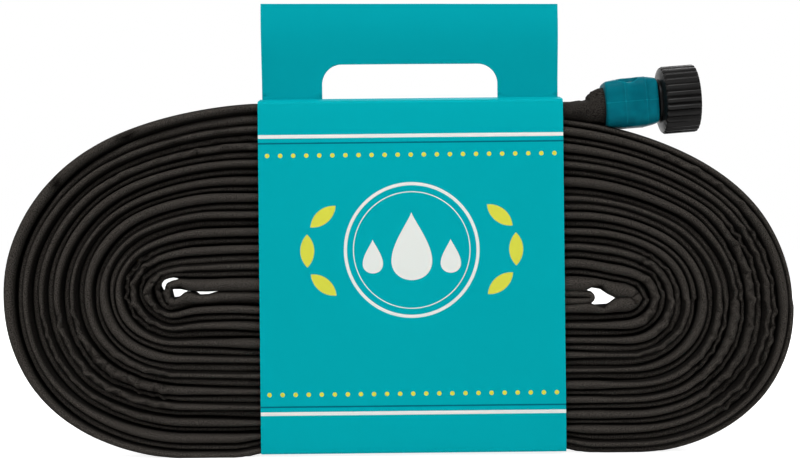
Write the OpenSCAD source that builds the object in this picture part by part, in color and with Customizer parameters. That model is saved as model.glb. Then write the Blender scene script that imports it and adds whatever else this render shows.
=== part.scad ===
// Lay-flat soaker hose wound into a flat hank, with a swivel coupling on its
// supply end, a flat clip on its closed end and a folded card sleeve with a
// carry handle. X runs along the hank, Y is its depth, Z is up. The origin is
// under the middle of the hank, on the surface that it stands on.

/* [Hose] */
// Width of the hose when it lies flat
hose_w = 22; // [20:0.5:23]
// Thickness of the flat hose
hose_t = 2.9; // [2:0.1:3]
// How far the hose narrows to its folded edges
fold_edge = 1.8; // [1:0.1:3]
// Outside diameter of the hose where it swells over the tailpiece
hose_end_od = 17.6; // [16:0.1:18]
// Thickness of the hose's wall in the collar
hose_wall = 1.5; // [1:0.1:2]

/* [Hank] */
// Whole turns of hose in the hank
turns = 20; // [12:1:20]
// Reach of the outermost turn's centre line to the left
reach_l = 196.5; // [180:0.5:205]
// Reach of the outermost turn's centre line to the right
reach_r = 198.5; // [180:0.5:205]
// Reach of the innermost turn to the left
core_l = 116; // [105:0.5:120]
// Reach of the innermost turn to the right
core_r = 119.5; // [110:0.5:124]
// Half the height of the innermost turn at its left end
core_h_l = 2.9; // [2.7:0.1:3.6]
// Half the height of the innermost turn over the end clip
core_h_r = 4.7; // [4.6:0.1:5.4]
// Height of the middle of the hank above the surface
mid_z = 81; // [76:0.5:86]
// Drop of the hank's middle line for each mm to the right
mid_drop = 0.025; // [0:0.005:0.03]
// Height of the outermost top run above the middle line
top_h = 93.3; // [88:0.1:95]
// Half the length of the straight top runs
top_run = 58; // [40:1:66]
// Half the length of the straight bottom runs
bottom_run = 103; // [101:0.5:112]
// Length over which the bottom runs come down beside the sleeve
waist_ease = 16; // [10:1:17]
// How far turns lie in front of and behind the middle, by turns
stagger = 1.5; // [0.5:0.1:1.6]
// Depth of the flats that the outermost turn stands on
flat_cut = 0.5; // [0.2:0.1:0.8]
// Tip of the fold in the innermost run
fold_x = 98.6; // [90:0.2:102]
// X of the hose's closed end
closed_x = 32; // [20:1:50]

/* [Coupling] */
// X of the collar's mouth
fit_x = 104.7; // [103:0.1:106]
// Height of the coupling's axis at the collar's mouth over the outermost top run
fit_rise = 0.9; // [0.7:0.1:3]
// Upward tilt of the coupling's axis
fit_tilt = 4; // [3:0.5:6]
// Length of the collar
collar_len = 26.5; // [24:0.5:30]
// Size of the collar across its flats
collar_af = 25; // [24:0.1:25.4]
// Width of the bevels between the collar's flats
collar_bevel = 4.4; // [3:0.1:6]
// Radius of the collar's ends
collar_round = 3; // [2:0.5:4]
// Length of the collar's end that narrows towards its mouth
collar_lead_in = 9.5; // [6:0.5:11]
// Length of the collar's end that narrows towards the nut
collar_run_out = 6.5; // [4:0.5:9]
// Share of its width that the collar keeps at its ends
collar_narrow = 0.92; // [0.88:0.01:0.98]
// Bore of the tailpiece
tail_bore = 10; // [8:0.5:11]
// Diameter of the tailpiece's neck, on which the nut turns
neck_d = 16; // [15:0.2:17]
// Running clearance of the nut on the neck, on the radius
neck_play = 0.08; // [0.05:0.01:0.1]
// Diameter of the tailpiece's head inside the nut
head_d = 23; // [21:0.2:23.6]
// Thickness of the tailpiece's head
head_t = 2.6; // [2:0.1:3.5]
// Gap between the collar and the nut
nut_gap = 0.8; // [0.5:0.1:1.5]
// Length of the nut
nut_len = 20; // [18:0.5:24]
// Outside diameter of the nut over its ribs
nut_od = 34.6; // [33:0.1:36]
// Number of ribs round the nut
nut_ribs = 26; // [20:1:32]
// Depth of the grooves between the ribs
rib_depth = 0.9; // [0.5:0.1:1.2]
// Thickness of the nut's back wall
nut_back = 3; // [2.5:0.1:4]
// Inside diameter of the hose thread at its crests
thread_minor = 24.6; // [24.4:0.1:24.8]
// Inside diameter of the hose thread at its roots
thread_major = 27.2; // [27:0.1:27.4]
// Pitch of the hose thread
thread_pitch = 2.209; // [2.1:0.001:2.3]
// Thickness of the sealing washer
washer_t = 2.8; // [2:0.1:3.2]
// Outside diameter of the sealing washer, which the thread's crests hold in
washer_d = 24.9; // [24.8:0.1:25]
// Thickness of the flow disc in the washer
disc_t = 1; // [0.8:0.1:1.5]
// Hole in the flow disc
disc_hole = 3; // [2:0.5:6]

/* [End clip] */
// Length of the end clip
clip_len = 22; // [18:1:30]
// Wall of the end clip
clip_wall = 1.15; // [0.8:0.05:1.2]
// Wall of the end clip at the hose's edges
clip_side = 1.1; // [0.8:0.05:1.2]

/* [Sleeve] */
// X of the middle of the sleeve
sleeve_x = 7.4; // [5:0.1:10]
// Width of the sleeve along the hank
sleeve_w = 152; // [148:0.5:154]
// Thickness of the card
card_t = 0.5; // [0.4:0.05:0.6]
// Clearance of the card from the hose
card_gap = 0.3; // [0.2:0.05:0.5]
// Height of the sleeve's underside above the surface
sleeve_z = 1.8; // [1.4:0.1:2.4]
// Rise of the roof from its creases to the handle
roof_rise = 2; // [1.5:0.1:4]
// Height of the glued seam on the back panel
seam_h = 18; // [10:1:30]
// Width of the handle
handle_w = 150; // [146:0.5:152]
// Height of the handle above its crease
handle_h = 47.1; // [42:0.1:55]
// Width of the hand slot
slot_w = 89; // [80:0.5:100]
// Height of the hand slot
slot_h = 17; // [15:0.5:22]
// Radius of the hand slot's upper corners
slot_r = 10; // [6:0.5:12]
// Gap between the handle's crease and the roof
crease_gap = 0.1; // [0.05:0.05:0.3]

/* [Hidden] */
$fn = 96;

hose_colour = "#2b2826";
teal_plastic = "#0a6f83";
black_plastic = "#1d1c1b";
black_rubber = "#262626";
teal_card = "#01a5b2";
white_card = "#e9ebe6";

// --- the hank ---------------------------------------------------------------

// The middle line of the hank at x
function mid(x) = mid_z - mid_drop * x;
function mix(a, b, t) = a + (b - a) * t;
function limit(v) = min(1, max(0, v));
function ease(t) = t * t * (3 - 2 * t);

sleeve_l = sleeve_x - sleeve_w / 2;
sleeve_r = sleeve_x + sleeve_w / 2;
low_h = hose_t / 2 - flat_cut;            // centre line of the lowest run before its flat is cut
waist = sleeve_z + card_t + card_gap + flat_cut;  // the sleeve draws the bottom runs up between the lobes
edge_run = 0.4;                           // the drawn-up run goes this far past the sleeve's edges
core_taper = 90;                          // length over which the innermost turn opens

// How far the bottom run is drawn up at x
function drawn(x) = waist * (1 - ease(limit((abs(x - sleeve_x) - sleeve_w / 2 - edge_run) / waist_ease)));
// Half the height of the innermost turn at x
function core_h(x) = mix(core_h_l, core_h_r, limit((x + core_l) / core_taper));

// Where the rings of a turn lie, anticlockwise from the right tip: on an end,
// at an angle from the tip, or on a run, at an x
RIGHT = 0;
TOP = 1;
LEFT = 2;
BOTTOM = 3;
end_step = 22.5;
bottom_x = [sleeve_l - edge_run - waist_ease, sleeve_l - edge_run, sleeve_x,
            sleeve_r + edge_run, sleeve_r + edge_run + waist_ease];
stations = concat([for (a = [0 : end_step : 90]) [RIGHT, a]],
                  [[TOP, 0]],
                  [for (a = [90 : -end_step : -90]) [LEFT, a]],
                  [for (x = bottom_x) [BOTTOM, x]],
                  [for (a = [-90 : end_step : -end_step]) [RIGHT, a]]);
per_turn = len(stations);
end_rings = 90 / end_step;                        // rings from the tip of an end to its run
first_ring = end_rings;                           // the hank starts where the top run leaves the right end
left_tip = end_rings + 2 + end_rings;             // station of the left tip
last_ring = per_turn * turns + left_tip + end_rings;
level_ring = per_turn * turns + left_tip;         // ring at which the spiral is down to its core

// Share of the way from the core to the outermost turn
function level(i) = 1 - (i - first_ring) / (level_ring - first_ring);

// Outer height at station k that puts the first turn, at its own level there, at the height wanted
function outer(k, core, wanted) = core + (wanted - core) / level(k);

// Centre of a ring at station k and level u, as [x, height over the middle line]
function on_end(k, side, a, u) =
    let (s = side == RIGHT ? 1 : -1,
         tip = side == RIGHT ? core_r : core_l,
         h = side == RIGHT ? core_h_r : core_h_l,
         reach = side == RIGHT ? reach_r : reach_l,
         run = a > 0 ? top_run : bottom_run,
         x1 = s * (run + (reach - run) * cos(a)),
         z1 = (a >= 0 ? top_h : outer(k, h, mid(x1) - low_h)) * sin(a))
    [mix(s * (tip - h * (1 - cos(a))), x1, u), mix(h * sin(a), z1, u)];
function on_run(k, side, x, u) =
    side == TOP ? [x, mix(core_h(x), top_h, u)]
                : [x, -mix(core_h(x), outer(k, core_h(x), mid(x) - low_h - drawn(x) * u / level(k)), u)];
function ring_xz(i) =
    let (k = i % per_turn, s = stations[k])
    s[0] == RIGHT || s[0] == LEFT ? on_end(k, s[0], s[1], level(i)) : on_run(k, s[0], s[1], level(i));

// Turns lie by turns in front and behind, and cross over behind the sleeve,
// in the middle of the bottom run
cross_station = left_tip + end_rings + 3;
function ring_y(i) =
    let (turn = floor(i / per_turn), k = i % per_turn, s = turn % 2 == 0 ? -stagger : stagger)
    k < cross_station ? s : k == cross_station ? 0 : -s;

// The innermost run: along the bottom of the core, round a fold and back to
// the closed end, as [x, height over the middle line]
inner_low = core_h_r - 1.2;                       // depth of the innermost run below the middle line
closed_h = 1.2;                                   // height of the closed end's run above the middle line
fold_r = (inner_low + closed_h) / 2;
fold_mid = [fold_x - fold_r, closed_h - fold_r];
inner_end = concat([[-78, -2.4], [-40, -2.8], [0, -inner_low], [40, -inner_low], [80, -inner_low]],
                   [for (a = [-90 : 30 : 90]) fold_mid + fold_r * [cos(a), sin(a)]],
                   [[80, closed_h], [60, closed_h], [closed_x + clip_len, closed_h], [closed_x, closed_h]]);

function at(x, h, y) = [x, y, mid(x) + h];
hank_line = concat(
    [for (i = [first_ring : last_ring]) let (p = ring_xz(i)) at(p[0], p[1], ring_y(i))],
    [for (k = [0 : len(inner_end) - 1]) at(inner_end[k][0], inner_end[k][1], 0)]);

// Tangent of a line of points in the plane of the hank, and the normal to it
function along(line, i) =
    let (d = line[min(i + 1, len(line) - 1)] - line[max(i - 1, 0)], l = norm([d[0], d[2]]))
    [d[0] / l, 0, d[2] / l];
function across(line, i) = let (t = along(line, i)) [-t[2], 0, t[0]];

// Six corners of the flat hose, [y, height]
function flat_section(w, t) =
    let (y = w / 2, e = y - fold_edge, h = t / 2)
    [[y, 0], [e, h], [-e, h], [-y, 0], [-e, -h], [e, -h]];

// Skin of a tube: rings of the same number of corners, closed at both ends
function skin(rings, n) = concat(
    [for (j = [1 : n - 2]) [0, j, j + 1]],
    [for (i = [0 : rings - 2], j = [0 : n - 1])
        let (a = i * n + j, b = i * n + (j + 1) % n) [a, a + n, b]],
    [for (i = [0 : rings - 2], j = [0 : n - 1])
        let (a = i * n + j, b = i * n + (j + 1) % n) [b, a + n, b + n]],
    [for (j = [1 : n - 2]) let (o = (rings - 1) * n) [o, o + j + 1, o + j]]);

// The hank starts level, heading left
function ring_normal(line, i) = i == 0 ? [0, 0, -1] : across(line, i);

hank_normals = [for (i = [0 : len(hank_line) - 1]) ring_normal(hank_line, i)];

// The outermost turn stands on flats: nothing of it goes below the surface
function stood(p) = [p[0], p[1], max(p[2], 0)];

// Least gap between the faces of turns that lie on each other
function to_segment(p, a, b) =
    let (d = b - a, t = limit((p - a) * d / max(d * d, 0.000001))) norm(p - a - t * d);
function flat2(p) = [p[0], p[2]];
function face_point(i, side) = flat2(hank_line[i] + side * hose_t / 2 * hank_normals[i]);
function least_gap(i, from, to) = min([for (j = [max(from, 0) : min(to, len(hank_line) - 2)], s = [-1, 1])
    to_segment(face_point(i, s), face_point(j, -s), face_point(j + 1, -s))]);
spiral_rings = last_ring - first_ring + 1;
gap_spiral = min([for (i = [per_turn : spiral_rings - 1]) least_gap(i, i - per_turn - 3, i - per_turn + 2)]);
gap_inner = min([for (i = [spiral_rings - 3 : len(hank_line) - 1])
    least_gap(i, i - 3 * per_turn, i - (i < spiral_rings + 12 ? 12 : 10))]);
echo(least_gap_in_the_spiral = gap_spiral, least_gap_of_the_inner_run = gap_inner);

function line_length(line, i = 0) = i >= len(line) - 1 ? 0
    : norm(line[i + 1] - line[i]) + line_length(line, i + 1);
echo(hank_length_m = line_length(hank_line) / 1000);

// --- the lead from the hank to the collar ------------------------------------

lead_start = hank_line[0];
run_z = mid_z + top_h;                            // outermost top run over the origin
axis_dir = [cos(fit_tilt), 0, sin(fit_tilt)];
mouth = [fit_x, 0, run_z + fit_rise];
// Route of the lead: [x, y, z, width, height, squareness]
lead_route = [
    [lead_start[0], lead_start[1], lead_start[2], hose_w, hose_t, 0.9],
    [67, -1.4, run_z - 1.4, 22, 4.6, 0.8],
    [76, -1.1, run_z - 1.4, 21.2, 7.2, 0.6],
    [84, -0.7, run_z - 1.2, 20.4, 9, 0.45],
    [90, -0.3, run_z - 0.7, 19.6, 10.2, 0.35],
    [95, -0.1, run_z, 18.8, 12.8, 0.2],
    [99, 0, run_z + 0.5, 18, 16, 0.1],
    [mouth[0] - 2 * axis_dir[0], 0, mouth[2] - 2 * axis_dir[2], hose_end_od, hose_end_od, 0],
    [mouth[0] + 1.5 * axis_dir[0], 0, mouth[2] + 1.5 * axis_dir[2], hose_end_od, hose_end_od, 0]];
lead_sides = 12;

function rounded(v, q) = sign(v) * pow(abs(v), 1 - 0.6 * q);
function lead_ring(p, n) = [for (j = [0 : lead_sides - 1])
    let (a = 360 * j / lead_sides)
    [p[0], p[1], p[2]] + [0, rounded(cos(a), p[5]) * p[3] / 2, 0] + rounded(sin(a), p[5]) * p[4] / 2 * n];
lead_up = [for (i = [0 : len(lead_route) - 1])
    i == 0 ? [0, 0, 1]
           : i >= len(lead_route) - 2 ? [-axis_dir[2], 0, axis_dir[0]]
           : let (t = i / (len(lead_route) - 2)) [-axis_dir[2] * t, 0, 1]];

// --- the coupling, along its own axis from the collar's mouth -----------------

module on_axis() translate(mouth) rotate([0, 90 - fit_tilt, 0]) children();

hose_r = hose_end_od / 2;
stem_r = hose_r - hose_wall;                      // the tailpiece's stem fills the hose
seat_gap = 0.1;                                   // between the fixed pieces of the coupling
cuff_start = 1.5;                                 // the lead's round end runs this far into the collar
cuff_end = 17;                                    // depth of the hose in the collar
barb_h = 0.3;
barbs = 4;
key_s = 19;                                       // the tailpiece's key flange in the collar
key_t = 3;
key_r = 9.6;
neck_r = neck_d / 2;
nut_s = collar_len + nut_gap;                     // back face of the nut
head_s = nut_s + nut_back + seat_gap;             // back face of the tailpiece's head
washer_s = head_s + head_t;
chamber_r = washer_d / 2 + 0.2;                   // room in the nut for the head and the washer
chamber_len = seat_gap + head_t + seat_gap + washer_t + 0.3;
thread_lead = 0.7;                                // chamfer at the thread's mouth
thread_turns = 4;

module hose_lead() {
    color(hose_colour) polyhedron(
        points = [for (i = [0 : len(lead_route) - 1], p = lead_ring(lead_route[i], lead_up[i])) p],
        faces = skin(len(lead_route), lead_sides),
        convexity = 4);
}

module hose_hank() {
    color(hose_colour) polyhedron(
        points = [for (i = [0 : len(hank_line) - 1], c = flat_section(hose_w, hose_t))
            stood(hank_line[i] + [0, c[0], 0] + c[1] * hank_normals[i])],
        faces = skin(len(hank_line), len(flat_section(hose_w, hose_t))),
        convexity = 30);
}

// The round end of the hose that the collar grips, over the tailpiece's stem
module hose_cuff() {
    color(hose_colour) on_axis() rotate_extrude() translate([stem_r + seat_gap / 2, cuff_start])
        square([hose_wall - seat_gap / 2, cuff_end - cuff_start]);
}

module tailpiece() {
    barb_step = (cuff_end - cuff_start - 2) / barbs;
    color(black_plastic) on_axis() rotate_extrude() difference() {
        union() {
            translate([0, cuff_start]) square([stem_r - barb_h, key_s - cuff_start]);
            for (k = [0 : barbs - 1])
                translate([0, cuff_start + k * barb_step])
                    polygon([[0, 0], [stem_r - barb_h, 0], [stem_r, barb_step * 0.8],
                             [stem_r - barb_h, barb_step], [0, barb_step]]);
            translate([0, key_s]) square([key_r, key_t]);
            translate([0, key_s]) square([neck_r, washer_s - key_s]);
            translate([0, head_s]) square([head_d / 2, head_t]);
        }
        translate([0, -1]) square([tail_bore / 2, washer_s + 2]);
    }
}

// Outline of the collar across its axis: a square with bevelled corners
module collar_outline() {
    f = collar_af / 2;
    b = f - collar_bevel;
    polygon([[f, b], [b, f], [-b, f], [-f, b], [-f, -b], [-b, -f], [b, -f], [f, -b]]);
}

// The collar's flats: a straight middle between two ends that narrow
module collar_flats() {
    translate([0, 0, collar_lead_in]) rotate([180, 0, 0])
        linear_extrude(height = collar_lead_in, scale = collar_narrow) collar_outline();
    translate([0, 0, collar_lead_in]) linear_extrude(height = collar_len - collar_lead_in - collar_run_out)
        collar_outline();
    translate([0, 0, collar_len - collar_run_out])
        linear_extrude(height = collar_run_out, scale = collar_narrow) collar_outline();
}

// Barrel that rounds the collar's ends
module collar_barrel() {
    corner = norm([collar_af / 2, collar_af / 2 - collar_bevel]);
    inset = corner - collar_round;
    rotate_extrude() polygon(concat(
        [[0, 0], [inset, 0]],
        [for (a = [-60 : 15 : 0]) [inset + collar_round * cos(a), collar_round + collar_round * sin(a)]],
        [for (a = [0 : 15 : 60]) [inset + collar_round * cos(a),
                                  collar_len - collar_round + collar_round * sin(a)]],
        [[inset, collar_len], [0, collar_len]]));
}

// Everything that the collar closes round: hose, key flange and neck
module collar_inside() {
    rotate_extrude() {
        translate([0, -1]) square([hose_r + seat_gap, cuff_end + 1.2]);
        translate([0, key_s - seat_gap]) square([key_r + seat_gap, key_t + 2 * seat_gap]);
        translate([0, cuff_end]) square([neck_r + 0.4, collar_len]);
    }
}

pad_len = 17;                                     // oval thumb pad let into the top and bottom
pad_w = 9;
pad_depth = 0.8;
pin_d = 3;                                        // snap pins of the lower half
pin_h = 4;
pin_y = 10.6;
pin_play = 0.1;
part_gap = 0.1;                                   // parting line between the halves

module collar_half(up) {
    half = collar_af;
    intersection() {
        difference() {
            intersection() {
                collar_flats();
                collar_barrel();
            }
            collar_inside();
            translate([-up * (collar_af / 2 - pad_depth), 0, collar_len / 2])
                rotate([0, -up * 90, 0]) scale([pad_len / pad_w, 1, 1]) cylinder(d = pad_w, h = pad_depth * 2);
        }
        translate([up > 0 ? -half - part_gap / 2 : part_gap / 2, -half, -1]) cube([half, 2 * half, collar_len + 2]);
    }
}

module snap_pins(play) {
    for (y = [-pin_y, pin_y]) translate([-pin_h - part_gap, y, collar_len / 2]) rotate([0, 90, 0])
        cylinder(d = pin_d * 0.6 + 2 * play, h = pin_h + pin_h / 2 + play);
}

module collar_upper() {
    color(teal_plastic) on_axis() difference() {
        collar_half(1);
        snap_pins(pin_play);
    }
}

module collar_lower() {
    color(teal_plastic) on_axis() union() {
        collar_half(-1);
        snap_pins(0);
    }
}

// Ribbed nut that turns on the tailpiece's neck
module swivel_nut() {
    r = nut_od / 2;
    shoulder = 3.2;
    color(black_plastic) on_axis() translate([0, 0, nut_s]) difference() {
        rotate_extrude() polygon([[neck_r + neck_play, 0], [11, 0], [12.4, 0.6], [r - 1.6, shoulder - 0.6],
                                  [r - rib_depth / 2, shoulder + 0.6], [r, shoulder + 1.6], [r, nut_len - 0.8],
                                  [r - 0.8, nut_len], [thread_minor / 2 + thread_lead, nut_len],
                                  [thread_minor / 2, nut_len - thread_lead],
                                  [thread_minor / 2, nut_back + chamber_len],
                                  [chamber_r, nut_back + chamber_len], [chamber_r, nut_back],
                                  [neck_r + neck_play, nut_back]]);
        for (k = [0 : nut_ribs - 1]) rotate([0, 0, 360 * (k + 0.5) / nut_ribs])
            translate([r + rib_depth * 0.35, 0, shoulder - 0.4]) cylinder(d = rib_depth * 2.5, h = nut_len, $fn = 24);
        for (k = [0 : thread_turns - 1]) translate([0, 0, nut_len - thread_pitch - k * thread_pitch]) rotate_extrude()
            polygon([[thread_minor / 2 - 0.2, thread_pitch * 0.42], [thread_major / 2, thread_pitch * 0.1],
                     [thread_major / 2, -thread_pitch * 0.1], [thread_minor / 2 - 0.2, -thread_pitch * 0.42]]);
    }
}

module sealing_washer() {
    color(black_rubber) on_axis() translate([0, 0, washer_s + seat_gap]) rotate_extrude() difference() {
        translate([tail_bore / 2 + 1.5, 0]) square([washer_d / 2 - tail_bore / 2 - 1.5, washer_t]);
        translate([0, washer_t / 2 - disc_t / 2 - 0.05]) square([disc_seat_r + 0.05, disc_t + 0.1]);
    }
}

disc_seat_r = 9;                                  // the flow disc sits in a groove inside the washer

module flow_disc() {
    color(white_card) on_axis() translate([0, 0, washer_s + seat_gap + washer_t / 2 - disc_t / 2]) difference() {
        cylinder(r = disc_seat_r, h = disc_t);
        translate([0, 0, -1]) cylinder(d = disc_hole, h = disc_t + 2);
    }
}

// --- the clip that closes the far end ------------------------------------------

clip_play = 0.1;                                  // between the clip and the hose
clip_h = hose_t / 2 + clip_play + clip_wall;
clip_d = hose_w + 2 * clip_play + 2 * clip_side;
clip_slope = atan(mid_drop);
clip_stop = 2;                                    // wall past the hose's closed end

module on_clip() translate([closed_x, 0, mid(closed_x) + closed_h]) rotate([0, clip_slope, 0]) children();

module clip_half(up) {
    z0 = up > 0 ? part_gap / 2 : -clip_h;
    h = clip_h - part_gap / 2;
    difference() {
        translate([-clip_stop, -clip_d / 2, z0]) cube([clip_len, clip_d, h]);
        translate([-clip_play, -hose_w / 2 - clip_play, -hose_t / 2 - clip_play])
            cube([clip_len + 1, hose_w + 2 * clip_play, hose_t + 2 * clip_play]);
    }
}

module end_clip_upper() { color(teal_plastic) on_clip() clip_half(1); }
module end_clip_lower() { color(teal_plastic) on_clip() clip_half(-1); }

// --- the card sleeve and its handle ---------------------------------------------

hank_depth = hose_w / 2 + stagger;
hank_top = mid(-top_run) + top_h + hose_t / 2;
inner_y = hank_depth + card_gap;
outer_y = inner_y + card_t;
crease_z = hank_top + card_gap;                   // the roof's slope clears the hose's folded edges
ridge_z = crease_z + roof_rise;
hinge_z = ridge_z + crease_gap + card_t;          // the handle's crease rolls on the roof's ridge
seam_t = card_t;

// Outline of the folded card seen from the end, [y, z], grown inwards by t
module house(t) {
    y = outer_y - t;
    polygon([[-y, sleeve_z + t], [y, sleeve_z + t], [y, crease_z - t], [0, ridge_z - t], [-y, crease_z - t]]);
}

module along_x(w) translate([-w / 2, 0, 0]) rotate([90, 0, 90]) linear_extrude(height = w) children();

module card_sleeve() {
    color(teal_card) translate([sleeve_x, 0, 0]) along_x(sleeve_w) difference() {
        house(0);
        house(card_t);
    }
}

// Flap that closes the wrap, glued to the outside of the back panel
module card_seam() {
    color(teal_card) translate([sleeve_x, 0, 0]) along_x(sleeve_w)
        translate([outer_y, sleeve_z]) square([seam_t, seam_h]);
}

// Outline of the handle seen from the front, from its crease up
module handle_outline() {
    difference() {
        translate([-handle_w / 2, 0]) square([handle_w, handle_h]);
        translate([-slot_w / 2, -1]) square([slot_w, slot_h + 1 - slot_r]);
        for (s = [-1, 1]) translate([s * (slot_w / 2 - slot_r), slot_h - slot_r]) circle(r = slot_r);
        translate([-slot_w / 2 + slot_r, -1]) square([slot_w - 2 * slot_r, slot_h + 1]);
    }
}

// One ply, with a rolled lower edge centred on the crease
module handle_ply(front) {
    leg = (handle_w - slot_w) / 2;
    translate([sleeve_x, 0, hinge_z]) intersection() {
        union() {
            translate([0, card_t, 0]) rotate([90, 0, 0]) linear_extrude(height = 2 * card_t) handle_outline();
            for (s = [-1, 1]) translate([s * (slot_w + leg) / 2 - leg / 2, 0, 0]) rotate([0, 90, 0])
                cylinder(r = card_t, h = leg);
        }
        translate([-handle_w, front ? -2 * card_t : 0, -2 * card_t])
            cube([2 * handle_w, 2 * card_t, handle_h + 4 * card_t]);
    }
}

module handle_front_ply() { color(teal_card) handle_ply(true); }
module handle_back_ply() { color(teal_card) handle_ply(false); }

hose_hank();
hose_lead();
hose_cuff();
tailpiece();
collar_upper();
collar_lower();
swivel_nut();
sealing_washer();
flow_disc();
end_clip_upper();
end_clip_lower();
card_sleeve();
card_seam();
handle_front_ply();
handle_back_ply();
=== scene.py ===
import math

import bmesh
import bpy
import numpy as np
from mathutils import Matrix, Vector


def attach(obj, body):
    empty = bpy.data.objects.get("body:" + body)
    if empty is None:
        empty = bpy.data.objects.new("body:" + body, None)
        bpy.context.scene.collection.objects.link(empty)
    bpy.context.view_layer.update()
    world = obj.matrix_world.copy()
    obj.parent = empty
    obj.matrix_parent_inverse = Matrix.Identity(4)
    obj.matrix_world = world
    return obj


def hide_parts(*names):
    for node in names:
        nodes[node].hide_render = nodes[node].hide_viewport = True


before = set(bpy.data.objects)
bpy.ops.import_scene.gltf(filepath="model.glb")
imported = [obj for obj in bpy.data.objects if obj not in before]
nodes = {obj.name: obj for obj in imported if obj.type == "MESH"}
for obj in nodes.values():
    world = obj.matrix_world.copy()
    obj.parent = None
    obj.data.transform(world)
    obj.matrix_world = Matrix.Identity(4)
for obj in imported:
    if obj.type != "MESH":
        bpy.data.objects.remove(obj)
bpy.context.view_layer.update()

mm = 0.001

# The camera stands in front of the pack, turned a little about its own line of sight
camera = {
    "x": 1.65, "y": -653.0, "z": 111.5,      # mm
    "roll": 0.6,                             # degrees
    "seenWidth": 398.4, "atDistance": 640.0,  # mm, the picture's width at the front of the pack
    "sensorWidth": 36.0,                     # mm
    "clipStart": 0.01, "clipEnd": 50.0,      # m
}


def makeCamera():
    data = bpy.data.cameras.new("camera")
    data.sensor_width = camera["sensorWidth"]
    data.lens = camera["sensorWidth"] * camera["atDistance"] / camera["seenWidth"]
    data.clip_start = camera["clipStart"]
    data.clip_end = camera["clipEnd"]
    eye = bpy.data.objects.new("camera", data)
    eye.location = [camera[c] * mm for c in "xyz"]
    eye.rotation_euler = (math.radians(90), math.radians(camera["roll"]), 0)
    bpy.context.scene.collection.objects.link(eye)
    bpy.context.scene.camera = eye


makeCamera()
print("camera made")


def linear(hexColour):                       # sRGB hex to linear RGBA
    parts = [int(hexColour[i:i + 2], 16) / 255 for i in (1, 3, 5)]
    return [p / 12.92 if p < 0.04045 else ((p + 0.055) / 1.055) ** 2.4 for p in parts] + [1.0]


def mix(a, b, t):
    return a + (b - a) * t


def limit(v, low=0.0, high=1.0):
    return min(high, max(low, v))


def ease(t):                                 # a smooth step from 0 to 1
    t = limit(t)
    return t * t * (3 - 2 * t)


def bell(v):
    return math.exp(-v * v)


def between(v, start, end, fadeIn, fadeOut):     # 1 from start to end, eased at both
    return ease((v - start) / fadeIn) * ease((end - v) / fadeOut)


def addNode(tree, kind, inputs=None, **settings):
    new = tree.nodes.new("ShaderNode" + kind)
    for name, value in settings.items():
        setattr(new, name, value)
    for socket, value in (inputs or {}).items():
        if isinstance(value, bpy.types.NodeSocket):
            tree.links.new(value, new.inputs[socket])
        else:
            new.inputs[socket].default_value = value
    return new


def newMaterial(name, **surface):
    made = bpy.data.materials.new(name)
    made.use_nodes = True
    shader = made.node_tree.nodes["Principled BSDF"]
    for socket, value in surface.items():
        shader.inputs[socket].default_value = value
    return made, made.node_tree, shader


def newPiece(name, mesh, material, body):
    piece = bpy.data.objects.new(name, mesh)
    bpy.context.scene.collection.objects.link(piece)
    mesh.materials.append(material)
    mesh.shade_smooth()
    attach(piece, body)
    return piece


# Black textured polyester, woven over a thin liner: matt, faintly warm, with a fine speckle
# from its threads. Down in the folds, in the notches and on the lead, a painted shade darkens it.
wovenHose = {
    "threadLight": "#55504b", "threadDark": "#0e0d0c",
    "threadPitch": 0.45,                     # mm
    "darkAt": 0.35, "lightAt": 0.68,         # where in the threads' noise the two colours are reached
    "patchesPerMetre": 28.0, "leastWear": 0.8, "mostWear": 1.2,
    # painted shade down in the folds and notches: the tone the cloth is darkened to
    "foldShadeTone": 0.16,
    "roughness": 0.9,
    "bump": 0.16,                            # mm
}


def makeWovenHose(name, onCloth):
    w = wovenHose
    made, tree, shader = newMaterial(name, **{
        "Roughness": w["roughness"], "IOR": 1.45, "Specular IOR Level": 0.03})
    if onCloth:
        place = addNode(tree, "UVMap", uv_map="cloth").outputs["UV"]
    else:
        place = addNode(tree, "TexCoord").outputs["Object"]
    pitch = w["threadPitch"] * mm
    threads = addNode(tree, "TexNoise", {
        "Vector": place, "Scale": 0.8 / pitch, "Detail": 2.0, "Roughness": 0.6})
    across = addNode(tree, "TexWave", {
        "Vector": place, "Scale": 1 / (math.pi * pitch), "Distortion": 1.5, "Detail": 1.0,
        "Detail Scale": 2.0}, bands_direction="DIAGONAL")
    tone = addNode(tree, "ValToRGB", {"Fac": threads.outputs["Fac"]})
    dark, light = tone.color_ramp.elements
    dark.position, dark.color = w["darkAt"], linear(w["threadDark"])
    light.position, light.color = w["lightAt"], linear(w["threadLight"])
    patches = addNode(tree, "TexNoise", {"Vector": place, "Scale": w["patchesPerMetre"], "Detail": 3.0})
    wear = addNode(tree, "MapRange", {
        "Value": patches.outputs["Fac"], "To Min": w["leastWear"], "To Max": w["mostWear"]})
    # painted shade down in the folds and in the notches, read from the hose's attribute
    shadeInFolds = addNode(tree, "Attribute", attribute_name="shadeInFolds")
    shadeFactor = addNode(tree, "MapRange", {
        "Value": shadeInFolds.outputs["Fac"], "To Min": 1.0, "To Max": w["foldShadeTone"]})
    shade = addNode(tree, "Math", {
        0: wear.outputs["Result"], 1: shadeFactor.outputs["Result"]}, operation="MULTIPLY")
    coloured = addNode(tree, "VectorMath", {
        0: tone.outputs["Color"], "Scale": shade.outputs["Value"]}, operation="SCALE")
    tree.links.new(coloured.outputs["Vector"], shader.inputs["Base Color"])
    weave = addNode(tree, "Math", {0: across.outputs["Fac"], 1: threads.outputs["Fac"]}, operation="ADD")
    bump = addNode(tree, "Bump", {
        "Height": weave.outputs["Value"], "Strength": 0.6, "Distance": w["bump"] * mm})
    tree.links.new(bump.outputs["Normal"], shader.inputs["Normal"])
    return made


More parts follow.
